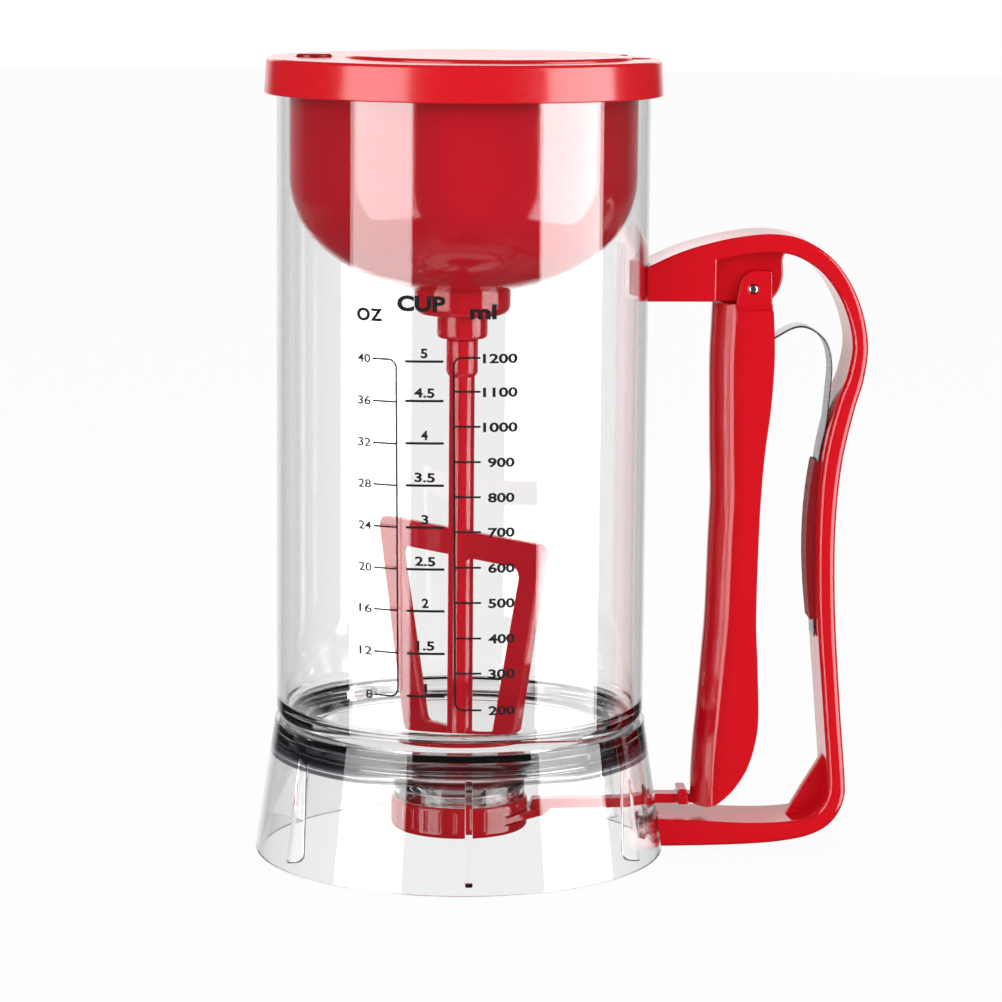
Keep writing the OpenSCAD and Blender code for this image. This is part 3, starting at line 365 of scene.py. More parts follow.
def rounded_edges(piece, radius, angle=40, steps=3):
    """Rounds a piece's sharp edges."""
    modifier = piece.modifiers.new("edges", "BEVEL")
    modifier.width = radius
    modifier.segments = steps
    modifier.limit_method = "ANGLE"
    modifier.angle_limit = math.radians(angle)
    modifier.use_clamp_overlap = True
    return settle(piece)


def cad_copy(node, name, edge=0.0):
    """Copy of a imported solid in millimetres, with its loose triangles merged and flat faces joined."""
    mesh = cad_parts[node].data.copy()
    mesh.transform(Matrix.Scale(1000, 4))
    work = bmesh.new()
    work.from_mesh(mesh)
    bmesh.ops.remove_doubles(work, verts=work.verts, dist=1e-3)
    bmesh.ops.dissolve_limit(work, angle_limit=math.radians(0.5), verts=work.verts, edges=work.edges)
    work.to_mesh(mesh)
    work.free()
    mesh.materials.clear()
    piece = new_object(name, mesh)
    if edge:
        rounded_edges(piece, edge, 50, 2)
    return piece


def finished(piece, name, body, material, replaces=(), smooth_angle=38):
    """Scales a piece to metres, smooths its faces but not its sharp edges, and puts it on its body."""
    piece.name = piece.data.name = name
    if len(piece.data.polygons) < 1:
        raise RuntimeError(f"{name} has no faces")
    piece.data.transform(Matrix.Scale(0.001, 4))
    piece.data.shade_smooth()
    piece.data.set_sharp_from_angle(angle=math.radians(smooth_angle))
    even = piece.modifiers.new("even normals", "WEIGHTED_NORMAL")
    even.keep_sharp = True
    even.weight = 60
    settle(piece)
    piece.data.materials.clear()
    piece.data.materials.append(material)
    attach(piece, body)
    if replaces:
        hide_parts(*replaces)
    return piece


# Materials

def add_node(tree, kind, inputs=None, **settings):
    """Adds a node with its settings; an input is a value or the socket that it is linked from."""
    node = tree.nodes.new(kind)
    for key, value in settings.items():
        setattr(node, key, value)
    for key, value in (inputs or {}).items():
        if isinstance(value, bpy.types.NodeSocket):
            tree.links.new(value, node.inputs[key])
        else:
            node.inputs[key].default_value = value
    return node


def new_material(name):
    """Empty material with its shader, output, and Object coordinates in metres."""
    material = bpy.data.materials.new(name)
    material.use_nodes = True
    tree = material.node_tree
    tree.nodes.clear()
    where = add_node(tree, "ShaderNodeTexCoord").outputs["Object"]
    shader = add_node(tree, "ShaderNodeBsdfPrincipled")
    out = add_node(tree, "ShaderNodeOutputMaterial", {"Surface": shader.outputs["BSDF"]})
    return material, tree, where, shader, out


def waves(tree, where, spacing, detail=2.0, stretch=(1, 1, 1)):
    """Soft noise with that spacing in metres, drawn out by stretch."""
    mapping = add_node(tree, "ShaderNodeMapping", {"Vector": where, "Scale": stretch})
    return add_node(tree, "ShaderNodeTexNoise", {"Vector": mapping.outputs["Vector"], "Scale": 1 / spacing,
                                                 "Detail": detail, "Roughness": 0.5}).outputs["Fac"]


def maths(tree, operation, *values, **settings):
    """Result of a Math node on numbers or sockets."""
    inputs = dict(enumerate(values))
    return add_node(tree, "ShaderNodeMath", inputs, operation=operation, **settings).outputs[0]


def ramp(tree, source, start, end, low, high, **settings):
    """Goes from low to high while the source goes from start to end, and stays there beyond."""
    return add_node(tree, "ShaderNodeMapRange", {"Value": source, "From Min": start, "From Max": end,
                                                 "To Min": low, "To Max": high}, **settings).outputs["Result"]


def mixed(tree, share, first, second):
    """Goes from the first number or socket to the second with the share."""
    return add_node(tree, "ShaderNodeMix", {0: share, 2: first, 3: second}, data_type="FLOAT").outputs[0]


def mixed_colour(tree, share, first, second):
    """Goes from the first colour, three numbers or a socket, to the second with the share."""
    first, second = (c if isinstance(c, bpy.types.NodeSocket) else tuple(c) + (1,) for c in (first, second))
    return add_node(tree, "ShaderNodeMix", {0: share, 6: first, 7: second}, data_type="RGBA").outputs[2]


def separate(tree, where):
    """The three coordinates, as sockets X, Y and Z."""
    return add_node(tree, "ShaderNodeSeparateXYZ", {"Vector": where}).outputs


def spread(tree, source, low, high):
    """Maps noise around its middle to the range low to high."""
    return ramp(tree, source, 0.3, 0.7, low, high)


def tinted(tree, source, colour, change):
    """Colour that goes from darker to lighter by that share with the noise."""
    dark = [c * (1 - change) for c in colour]
    light = [min(1, c * (1 + change)) for c in colour]
    return mixed_colour(tree, source, dark, light)


def relief(tree, shader, source, height):
    """Bump of that height in metres on the shader."""
    bump = add_node(tree, "ShaderNodeBump", {"Height": source, "Distance": height, "Strength": 1.0})
    tree.links.new(bump.outputs["Normal"], shader.inputs["Normal"])


def moulded(name, colour, roughness, wave, height, level=0.5, ior=1.54):
    """Injection moulded plastic: a polished tool gives a gloss face with slow waves and faint flow marks."""
    material, tree, where, shader, _ = new_material(name)
    slow = waves(tree, where, wave)
    fine = waves(tree, where, 0.0012, 3.0)
    tree.links.new(tinted(tree, slow, colour, 0.03), shader.inputs["Base Color"])
    tree.links.new(spread(tree, fine, roughness * 0.8, roughness * 1.25), shader.inputs["Roughness"])
    shader.inputs["IOR"].default_value = ior
    shader.inputs["Specular IOR Level"].default_value = level
    relief(tree, shader, slow, height)
    return material


def painted_collar_shade(tree, where):
    """Share of painted shade in the collar, in metres. Where the tube is glued in, light is trapped between
    the
    walls and the band looks dark: that darkness is painted in as grey, most where the band is seen from the
    side, and hardly at the back. It reaches lower at the sides, with a thin painted dark line under it."""
    low, high, drop = 0.0349, 0.0393, 0.0016
    line_middle, line_side, line_half = 0.0330, 0.0321, 0.0004
    place = separate(tree, where)
    across = maths(tree, "ABSOLUTE", place["X"])
    width, double, line = (ramp(tree, across, 0.02, 0.034, middle, side) for middle, side in (
        (high - low, high - low + drop), (low + high, low + high - drop), (line_middle, line_side)))
    half, middle = maths(tree, "MULTIPLY", width, 0.5), maths(tree, "MULTIPLY", double, 0.5)
    band = maths(tree, "MAXIMUM", maths(tree, "COMPARE", place["Z"], middle, half),
                 maths(tree, "COMPARE", place["Z"], line, line_half))
    aside = ramp(tree, across, 0.01, 0.04, 0.68, 1.0)
    ahead = ramp(tree, place["Y"], 0.045, 0.02, 0.1, 1.0)
    return maths(tree, "MULTIPLY", maths(tree, "MULTIPLY", aside, ahead), band)


def clear_plastic(name, colour, wave, painted_shade_band=False, ior=1.5):
    """Clear moulded SAN: light goes through, the rim lines darken where the wall is seen edge on, and
    lamps light what is inside."""
    material, tree, where, shader, out = new_material(name)
    slow = waves(tree, where, wave)
    edge = add_node(tree, "ShaderNodeLayerWeight", {"Blend": 0.2}).outputs["Facing"]
    tint = mixed_colour(tree, ramp(tree, edge, 0.3, 0.95, 0.0, 1.0), colour, [c * 0.55 for c in colour])
    # The grey band that this puts in the collar is painted shade, for the dark ring that light turning
    # between the walls gives
    if painted_shade_band:
        tint = mixed_colour(tree, painted_collar_shade(tree, where), tint, srgb("#3C3C43"))
    tree.links.new(tint, shader.inputs["Base Color"])
    tree.links.new(spread(tree, slow, 0.01, 0.03), shader.inputs["Roughness"])
    shader.inputs["IOR"].default_value = ior
    shader.inputs["Transmission Weight"].default_value = 1.0
    relief(tree, shader, slow, 0.00001)
    shadow = add_node(tree, "ShaderNodeLightPath").outputs["Is Shadow Ray"]
    through = add_node(tree, "ShaderNodeBsdfTransparent", {"Color": (0.995, 0.995, 0.995, 1)}).outputs["BSDF"]
    mix = add_node(tree, "ShaderNodeMixShader", {"Fac": shadow, 1: shader.outputs["BSDF"], 2: through})
    tree.links.new(mix.outputs["Shader"], out.inputs["Surface"])
    return material


def worked_steel(name, colour, roughness, stretch, height=0.000002):
    """Bare steel: fine lines along the way it was rolled, drawn or turned, at 0.3 mm so that they show."""
    material, tree, where, shader, _ = new_material(name)
    lines = waves(tree, where, 0.0003, 2.0, stretch)
    tree.links.new(tinted(tree, lines, srgb(colour), 0.08), shader.inputs["Base Color"])
    tree.links.new(spread(tree, lines, roughness * 0.75, roughness * 1.3), shader.inputs["Roughness"])
    shader.inputs["Metallic"].default_value = 1.0
    relief(tree, shader, lines, height)
    return material


MATERIALS = {}


def make_materials(sizes, colours):
    """Fills MATERIALS, each one named for the real material and how it was made."""
    wave = sizes.flow_wave
    red, painted_light_red, dark_red, clear = (tuple(c) for c in (colours.red, colours.mixer_red_painted_light, colours.dark_red,
                                                          colours.clear))
    # ABS moulded in a polished tool: hard gloss over an even red, with slow sink waves
    MATERIALS["red"] = moulded("gloss_abs_red", red, 0.09, wave, 0.000008, 0.4)
    # Lighter copy of the red on the bowl and the paddle: painted light, for the light that the tube and the
    # lid keep from them
    MATERIALS["mixer"] = moulded("gloss_abs_red_with_painted_light", painted_light_red, 0.09, wave, 0.000008, 0.4)
    # The lid's ABS comes from a tool with a satin face, so lamps show softer in it
    MATERIALS["satin"] = moulded("satin_abs_red", red, 0.18, wave, 0.000008, 0.5)
    # The same ABS in a deeper shade and a finer grain, on the part that a finger presses
    MATERIALS["dark"] = moulded("gloss_abs_dark_red", dark_red, 0.16, wave, 0.00001, 0.4)
    # The spring's clip is hidden in the grip, so its tool was left spark eroded: the face is matt; its dark
    # red is painted shade
    MATERIALS["clip"] = moulded("spark_eroded_abs_red_painted_shade", dark_red, 0.5, wave, 0.00001, 0.25)
    # SAN moulded in a polished tool. The skirt's is tinted a touch grey, and its collar has a band of painted
    # shade
    MATERIALS["clear"] = clear_plastic("clear_san", clear, wave)
    MATERIALS["collar"] = clear_plastic("clear_san_collar_painted_shade", [c * 0.96 for c in clear], wave, painted_shade_band=True)
    # The fins are as clear as the wall that they grow from, so they bend light less than a loose piece would
    MATERIALS["fin"] = clear_plastic("clear_san_fins", clear, wave, ior=1.3)
    # Spring strip, cold rolled and hardened: dark grey with lines along its length
    MATERIALS["spring"] = worked_steel("rolled_spring_steel", "#8C8D90", 0.28, (0.1, 1, 0.1))
    # Wire and bar, drawn and cut: bright
    MATERIALS["pin"] = worked_steel("drawn_stainless_steel", "#D2D3D5", 0.18, (1, 0.1, 1))
    MATERIALS["screw"] = worked_steel("zinc_plated_steel", "#C3C5C6", 0.3, (1, 1, 0.2))
    # Food grade silicone, compression moulded: milky and soft, with a dull skin
    MATERIALS["silicone"] = moulded("moulded_silicone", srgb("#DFDFDB"), 0.45, 0.008, 0.00002, 0.4, 1.41)
    # Acetal, turned: waxy off white
    MATERIALS["acetal"] = moulded("turned_acetal", srgb("#E9E5D8"), 0.35, 0.004, 0.00001, 0.4, 1.48)
    # Nylon with glass fibre: black with a dull grain
    MATERIALS["nylon"] = moulded("moulded_black_nylon", srgb("#232326"), 0.5, 0.002, 0.00003, 0.4, 1.53)
    # Glass fibre board with solder lacquer: green, with the weave just showing
    MATERIALS["board"] = moulded("lacquered_circuit_board", srgb("#1E6B3C"), 0.3, 0.0008, 0.00002)
    # Screen printed ink: black, slightly raised, and flat, so that lamps don't wash it out
    MATERIALS["ink"] = moulded("screen_printed_ink", tuple(colours.ink), 0.7, 0.0015, 0.000004, 0.12)
    # Cell wrap: shrunk film over steel, grey with a band of copper colour at one end
    MATERIALS["cell"] = cell_wrap()


def cell_wrap():
    """Shrunk film: dark grey, with a band of copper colour at the end with the nub. The coordinate along the
    cell marks it off, and changes its sign from cell to cell, because every other one is turned round."""
    material, tree, where, shader, _ = new_material("shrunk_cell_film")
    place = separate(tree, where)
    pitch = CELL_PITCH / 1000
    from_first = maths(tree, "ADD", place["X"], 2 * pitch - CELLS_X / 1000)
    first = maths(tree, "LESS_THAN", maths(tree, "FLOORED_MODULO", from_first, 2 * pitch), pitch)
    along = maths(tree, "MULTIPLY", place["Y"], maths(tree, "MULTIPLY_ADD", first, -2.0, 1.0))
    tone = mixed_colour(tree, ramp(tree, along, 0.0118, 0.012, 0.0, 1.0), srgb("#2E3136"), srgb("#B4713E"))
    tree.links.new(tone, shader.inputs["Base Color"])
    fine = waves(tree, where, 0.002)
    tree.links.new(spread(tree, fine, 0.22, 0.34), shader.inputs["Roughness"])
    relief(tree, shader, fine, 0.00001)
    return material


def sizes_and_colours(context):
    """The two groups of settings that the panel shows."""
    return context.scene.dispenser_sizes, context.scene.dispenser_colours


class DISPENSER_OT_materials(bpy.types.Operator):
    """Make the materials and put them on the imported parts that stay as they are."""
    bl_idname = "dispenser.materials"
    bl_label = "Materials"

    def execute(self, context):
        make_materials(*sizes_and_colours(context))
        kept = {
            "outlet_gasket": "silicone", "lid_seal": "silicone", "shaft_seal": "silicone",
            "handle_screws": "screw", "housing_screws": "screw", "clamp_screws": "screw",
            "battery_contacts": "spring", "batteries": "cell", "power_switch": "board", "motor": "screw",
            "motor_clamp": "nylon", "shaft_bush": "acetal", "drive_spindle": "pin",
        }
        for node, material in kept.items():
            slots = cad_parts[node].data.materials
            slots.clear()
            slots.append(MATERIALS[material])
        return {"FINISHED"}


def funnel_z(r):
    """Height of the funnel's upper face at radius r."""
    return FUNNEL_FOOT + (r - OUTLET_R) * FUNNEL_SLOPE


class DISPENSER_OT_tube(bpy.types.Operator):
    """Clear measuring tube with its funnel floor, outlet and cap boss."""
    bl_idname = "dispenser.tube"
    bl_label = "Measuring tube"

    def execute(self, context):
        under = 2.815
        ring_in, ring_out, ring_foot, shoulder = 50.3, 53, 35.2, 41.5
        outlet_out, outlet_foot = 10.9, 15.225
        boss_in, boss_out, boss_wide, boss_foot, boss_step = 16.5, 19.1, 20.6, 14.6, 17.0
        # The floor's underside is level near the foot ring: light leaves it there, and the rim stays clear
        level_r = 45

        def below(r):
            """Height of the floor's underside at radius r."""
            return funnel_z(r) - under

        tube = turned("tube", [
            (ring_in, ring_foot, 0.3), (ring_out, ring_foot, 0.3), (ring_out, shoulder, 0),
            (TUBE_R, shoulder, 4.49), (TUBE_R, TUBE_TOP, 0.8), (BORE_R, TUBE_TOP, 0.8),
            (BORE_R, funnel_z(BORE_R), 4), (OUTLET_R, funnel_z(OUTLET_R), 0.8), (OUTLET_R, outlet_foot, 0.2),
            (outlet_out, outlet_foot, 0.2), (outlet_out, below(outlet_out), 0.8),
            (boss_in, below(boss_in), 0.6),
            (boss_in, boss_foot, 0.3), (boss_out, boss_foot, 0.3), (boss_out, boss_step, 0),
            (boss_wide, boss_step, 0.3), (boss_wide, below(boss_wide), 0.6), (level_r, below(level_r), 2),
            (ring_in, below(level_r), 0.8)], 384, 8)
        low, high = LUG_Z
        neck = block((TUBE_R + 0.02, -LUG_NECK_Y, low), (LUG_NECK_X + 0.1, LUG_NECK_Y, high))
        head = block((LUG_NECK_X, -LUG_HEAD_Y, low), (LUG_END_X, LUG_HEAD_Y, high))
        lug = rounded_edges(combine(neck, head, "UNION"), 0.3)
        tube = joined("tube", [tube, lug])
        finished(tube, "measuring_tube", "base", MATERIALS["clear"], ["container"])
        return {"FINISHED"}


def skirt_out(z):
    """Outer radius of the skirt at a height."""
    return FOOT_R - z * SKIRT_SLOPE


class DISPENSER_OT_skirt(bpy.types.Operator):
    """Clear flared skirt with its collar, six fins and the rod's slot."""
    bl_idname = "dispenser.skirt"
    bl_label = "Base skirt"

    def execute(self, context):
        # The lip round the tube's corner is drawn low: light that turns inside a taller one makes a dark ring
        lip_r, lip_x, lip_z, lip_foot = 4.6, 53, 46, 42
        lip = np.linspace(math.radians(-60.4), -math.pi / 2, 7)
        lip = np.stack([lip_x + lip_r * np.cos(lip), lip_z + lip_r * np.sin(lip), 0 * lip], 1)
        collar_r, collar_foot, wall = 53.1, 34.5, 2.5
        corners = [(62.4, 0, 0.2), (FOOT_R - 0.2, 0, 0.5), (skirt_out(lip_foot), lip_foot, 0.25)]
        corners += lip.tolist()
        corners += [(collar_r, 41.4, 0), (collar_r, collar_foot, 0.5),
                    (skirt_out(collar_foot) - wall, collar_foot, 0.8)]
        skirt = turned("skirt", corners, 288)
        # The fins stand just clear of the wall and of the collar
        fins = []
        fin_count, fin_low, fin_high, fin_gap = 6, 2.2, collar_foot - 0.1, wall + 0.05
        for k in range(fin_count):
            fin = plate("fin", [rounded([
                (55.0, fin_high, 0.4), (56.4, fin_low, 2.4), (skirt_out(fin_low) - fin_gap, fin_low, 0.3),
                (skirt_out(fin_high) - fin_gap, fin_high, 0.3)])], 2.2, 0.3)
            angle = math.radians(30 + 360 / fin_count * k)
            fins.append(placed(fin, turn=Matrix.Rotation(angle, 4, "Z")))
        fins = joined("fins", fins)
        finished(fins, "skirt_fins", "base", MATERIALS["fin"], ["base_skirt"])
        for side in (-1, 1):
            boss = rod(4.2, 60.4, skirt_out(BAR_Z) - 0.6, "X")
            skirt = combine(skirt, placed(boss, y=side * SCREW_Y, z=BAR_Z), "UNION")
        for side in (-1, 1):
            hole = rod(1.8, 55, 72, "X")
            skirt = combine(skirt, placed(hole, y=side * SCREW_Y, z=BAR_Z), "DIFFERENCE")
        low, high, wide, bend = 12.25, 19.25, 6, 3.4
        outline = rounded([(-wide, low, bend), (wide, low, bend), (wide, high, bend), (-wide, high, bend)],
                          12)
        slot = placed(plate("slot", [outline], 16, 0.01), 64, turn=Matrix.Rotation(math.pi / 2, 4, "Z"))
        skirt = combine(skirt, slot, "DIFFERENCE")
        finished(skirt, "skirt", "base", MATERIALS["collar"], ["base_skirt"])
        return {"FINISHED"}


class DISPENSER_OT_valve(bpy.types.Operator):
    """Valve cap with its grip ribs, and the slide with its rod."""
    bl_idname = "dispenser.valve"
    bl_label = "Outlet valve"

    def execute(self, context):
        cap = cad_copy("valve_cap", "cap", 0.25)
        finished(cap, "outlet_cap", "base", MATERIALS["red"], ["valve_cap"])
        # Outside the skirt the rod lies a little lower, and the block in front of the trigger is low
        slide = cad_copy("valve_slide", "slide")
        p = np.empty(len(slide.data.vertices) * 3, np.float32)
        slide.data.vertices.foreach_get("co", p)
        p = p.reshape(-1, 3)
        x, z = p[:, 0], p[:, 2]
        block_top = (x > 60) & (x < 74) & (z > 19)
        p[:, 2] = z - (0.9 * np.clip((x - 50) / 9, 0, 1) + 0.8 * block_top)
        slide.data.vertices.foreach_set("co", p.ravel())
        rounded_edges(slide, 0.5, 50, 3)
        finished(slide, "gate_slide", "slide", MATERIALS["red"], ["valve_slide"])
        return {"FINISHED"}


# Middle line of the strap, from the bracket round to the bar: share of its reach, share of its height, and
# share of its thickness
STRAP_T = 5.70
STRAP_STEPS = 8
STRAP_LINE = np.array([
    [-0.03, 0.941, 1.00], [0.127, 0.967, 1.00], [0.262, 0.983, 1.00], [0.415, 0.995, 1.00],
    [0.576, 1.000, 1.00], [0.716, 0.990, 0.98], [0.850, 0.957, 0.94], [0.950, 0.902, 0.88],
    [1.000, 0.835, 0.86], [0.982, 0.776, 0.94], [0.935, 0.723, 1.05], [0.879, 0.630, 1.07],
    [0.858, 0.514, 1.00], [0.867, 0.371, 1.00], [0.902, 0.213, 0.95], [0.931, 0.094, 0.97],
    [0.927, 0.057, 1.03], [0.880, 0.026, 1.03], [0.789, 0.007, 1.00], [0.643, -0.001, 1.10],
    [0.475, -0.003, 1.22], [0.268, -0.002, 1.40], [-0.03, 0.000, 1.57]])


def strap_edges():
    """Outer and inner line of the strap: its middle line moved sideways by half its thickness."""
    scale = np.array([REACH, HANDLE_H, STRAP_T])
    line = smooth(STRAP_LINE * scale + np.array([TUBE_R, BAR_Z, 0]), STRAP_STEPS)
    side = sideways(line) * line[:, 2:] / 2
    return line[:, :2] + side, line[:, :2] - side


def strap_face(z):
    """The strap's inner face in the grip at height z."""
    grip_top, grip_foot = 9, 16
    inner = strap_edges()[1][STRAP_STEPS * grip_top:STRAP_STEPS * grip_foot + 1][::-1]
    return np.interp(z, inner[:, 1], inner[:, 0])


class DISPENSER_OT_handle(bpy.types.Operator):
    """Handle: strap and bracket as one outline, with the pin's web and the gusset in the lower corner."""
    bl_idname = "dispenser.handle"
    bl_label = "Handle"

    def execute(self, context):
        sizes, _ = sizes_and_colours(context)
        outer, inner = strap_edges()
        middle, across = (outer + inner) / 2, outer - inner
        thick = np.linalg.norm(across, axis=1) / 2
        # The edges are small at the bracket and roll over more and more down the grip
        share = np.interp(np.arange(len(thick)) / STRAP_STEPS, [0, 3, 6, 8, 14, 17, 20, 22],
                          [0.36, 0.36, 0.5, 1, 1, 0.9, 0.6, 0.5])
        radius = np.minimum(sizes.moulded_edge * 1000 * share, thick * 0.9)
        strap = strip("strap", middle, STRAP_W / 2, across / thick[:, None] / 2, thick, radius)
        bracket_x, bracket_z = 77.6, 174.1
        arch = middle[:STRAP_STEPS * 5]
        ridge = arch[arch[:, 0] < bracket_x]
        top = np.interp(bracket_x, arch[:, 0], arch[:, 1])
        foot = rounded([(bracket_x, top, 0), (bracket_x, bracket_z, 1.2), (55.54, bracket_z, 0)])
        outline = np.vstack([foot, ridge])
        bracket = plate("bracket", [outline[::-1]], STRAP_W - 0.02, 0.7)
        px, pz = PIVOT
        rear = smooth([(px + 5.5, bracket_z - 0.6), (px + 7.8, bracket_z + 2.2), (px + 9.3, bracket_z + 6.2),
                       (px + 9.4, bracket_z + 10), (px + 9.4, bracket_z + 13), (px + 11.5, 191)], 6)
        front = [(bracket_x - 2, 189.2), (bracket_x - 2, bracket_z - 0.6)]
        web = plate("web", [np.vstack([front, rear])], 12, 0.7)
        corner = (TUBE_R + REACH * 0.93, BAR_Z)
        gusset = plate("gusset", [np.array([
            (-1.5, 25.5), (-9.5, 12.2), (-14.5, 3.5), (-14.5, 0), (-6, 2), (-1, 7), (0.5, 25.5)]) + corner],
            3.6, 0.5)
        handle = combine(combine(combine(strap, bracket, "UNION"), web, "UNION"), gusset, "UNION")
        # The bracket is hollowed to fit the tube, and the bar to fit the skirt
        handle = combine(handle, rod(TUBE_R + 0.1, -5, 260, segments=384), "DIFFERENCE")
        cone = solid("cone", revolve(np.array([[FOOT_R + 0.1, 0], [57.9, SKIRT_H]]), 384), wrap=False)
        handle = combine(handle, cone, "DIFFERENCE")
        for side in (-1, 1):
            hole = rod(1.55, 60, 78, "X", 32)
            handle = combine(handle, placed(hole, y=side * SCREW_Y, z=BAR_Z), "DIFFERENCE")
        handle = combine(handle, placed(rod(1.51, -14, 14, "Y", 48), px, 0, pz), "DIFFERENCE")
        # The slot for the lug is open at the bracket's underside
        for start, end, half in ((57, LUG_NECK_X + LUG_GAP, LUG_NECK_Y + LUG_GAP),
                                 (LUG_NECK_X - LUG_GAP, LUG_END_X + LUG_GAP, LUG_HEAD_Y + LUG_GAP)):
            slot = block((start, -half, 173), (end, half, LUG_Z[1] + LUG_GAP))
            handle = combine(handle, slot, "DIFFERENCE")
        finished(handle, "grip_handle", "base", MATERIALS["red"], ["handle"])
        pin = turned("pin", [(0, -9, 0), (1.5, -9, 0.8), (1.5, 9, 0.8), (0, 9, 0)], 64, 10)
        placed(pin, px, 0, pz, Matrix.Rotation(math.pi / 2, 4, "X"))
        finished(pin, "trigger_pin", "base", MATERIALS["pin"], ["pivot_pin"])
        return {"FINISHED"}


# Trigger from its top to its foot: height as a share of the pin's, front line and rear line from the pin
TRIGGER_LINE = np.array([
    [0.974, -11.8, 6.0], [0.928, -12.1, 6.5], [0.872, -12.4, 6.7], [0.793, -12.2, 5.9],
    [0.715, -11.9, 4.3], [0.635, -11.5, 3.3], [0.552, -12.0, 2.8], [0.422, -12.6, 2.5],
    [0.338, -13.6, 3.2], [0.248, -14.8, 3.8], [0.203, -15.5, 3.2], [0.158, -16.0, 1.1],
    [0.124, -16.2, -2.1], [0.078, -16.2, -11.0]])
# Outline of its foot: distance from the pin, and height
TRIGGER_FOOT = np.array([
    [-16.2, 13.95], [-12, 13.95], [-10.6, 14.2], [-9.3, 14.75], [-8.1, 15.6], [-6.4, 17.0], [-4.8, 18.5],
    [-3.1, 20.5], [-1.5, 22.8]])


class DISPENSER_OT_trigger(bpy.types.Operator):
    """Trigger: a channel with an elliptical nose, two ears, and a notch for the rod."""
    bl_idname = "dispenser.trigger"
    bl_label = "Trigger"

    def execute(self, context):
        px, pz = PIVOT
        line = smooth(TRIGGER_LINE, 8)[::-1]
        z, front, rear = line[:, 0] * pz, line[:, 1] + px, line[:, 2] + px
        # Rings below the bend go down to the foot's outline: each is a blend, by share, of that outline and a
        # level ring, with its rear end on the rear line
        bend, toe, heel = 44, TRIGGER_FOOT[0, 1], 26
        half, wall_t = 11, 2.2
        share = np.linspace(0, 1, 20)[:-1]
        low_front = np.interp(toe + (bend - toe) * share, z, front)
        low_rear = np.interp(heel + (bend - heel) * share, z, rear)
        above = z >= bend
        share = np.concatenate([share, np.ones(above.sum())])
        level = np.concatenate([0 * low_front + bend, z[above]])
        front, rear = np.concatenate([low_front, front[above]]), np.concatenate([low_rear, rear[above]])
        sole = np.vstack([TRIGGER_FOOT, [(low_rear[0] - px, heel)]])
        depth = np.minimum(np.interp(level * share, [0, bend, 80], [8.9, 9.6, 10.4]), (rear - front) * 0.85)
        wall = np.minimum(wall_t, depth * 0.5)
        middle, inside = front + depth, half - wall_t
        a = np.linspace(np.pi / 2, 3 * np.pi / 2, 49)

        def ring(x, y):
            """Points of all rings: their height is the foot's outline at x, or the ring's level, by share."""
            foot = np.interp(x - px, sole[:, 0], sole[:, 1])
            return np.stack([x, y + 0 * x, foot * (1 - share[:, None]) + (level * share)[:, None]], -1)

        def flat(y, part):
            """Flat side at y, from the nose to the rear line."""
            return ring(middle[:, None] + (rear - middle)[:, None] * part, y)

        nose = ring(middle[:, None] + depth[:, None] * np.cos(a), half * np.sin(a))
        back = a[::-1]
        hollow = ring(middle[:, None] + (depth - wall)[:, None] * np.cos(back), inside * np.sin(back))
        part = np.arange(1, 15) / 14
        outside = [flat(half, part[::-1]), nose, flat(-half, part)]
        rings = np.concatenate(outside + [flat(-inside, part[::-1]), hollow, flat(inside, part)], 1)
        rows, columns = rings.shape[:2]
        k = np.arange(columns // 2 - 1)
        caps = np.stack([k, k + 1, columns - 2 - k, columns - 1 - k], 1)
        faces = np.vstack([grid_faces(rows, columns, False), caps[:, ::-1], caps + (rows - 1) * columns])
        mesh = bpy.data.meshes.new("trigger")
        mesh.from_pydata(rings.reshape(-1, 3).tolist(), [], faces.tolist())
        weld(mesh)
        channel = new_object("trigger", mesh)
        top, last = pz * TRIGGER_LINE[0, 0], px + TRIGGER_LINE[0, 2]
        notch = block((72.39, -3.5, 9), (86.4, 3.5, 18.95))
        channel = combine(channel, notch, "DIFFERENCE")
        # Beside the ears the channel's walls start lower
        for low, high in ((-12, -9.02), (9.02, 12)):
            recess = block((px - 5.45, low, top - 1.95), (last + 2, high, top + 1))
            channel = combine(channel, recess, "DIFFERENCE")
        pieces = [rounded_edges(channel, 0.35, 55, 2)]
        for side in (-1, 1):
            ear_r, hole_r = 5.4, 1.56
            a = np.radians(np.linspace(78, 176, 12))
            arc = np.stack([px + 1 + ear_r * np.cos(a), pz + 0.4 + ear_r * np.sin(a)], 1)
            outline = np.vstack([[(last - 1, top - 11), (last, top - 0.6), (px + 5.7, pz + 5.6)], arc,
                                 [(px - ear_r, top - 0.6), (px - 5, top - 11)]])
            hole = np.radians(np.arange(32) * 11.25)
            hole = np.stack([px + hole_r * np.cos(hole), pz + hole_r * np.sin(hole)], 1)
            ear = plate("ear", [outline, hole[::-1]], 2.6, 0.45)
            pieces.append(placed(ear, y=side * 7.7))
            low, high = sorted((side * 6.4, side * 10.6))
            shoulder = block((px - ear_r, low, top - 6), (last - 0.4, high, top - 2.3))
            pieces.append(rounded_edges(shoulder, 0.4))
        lever = joined("trigger", pieces)
        finished(lever, "trigger_lever", "trigger", MATERIALS["red"], ["trigger"])
        return {"FINISHED"}


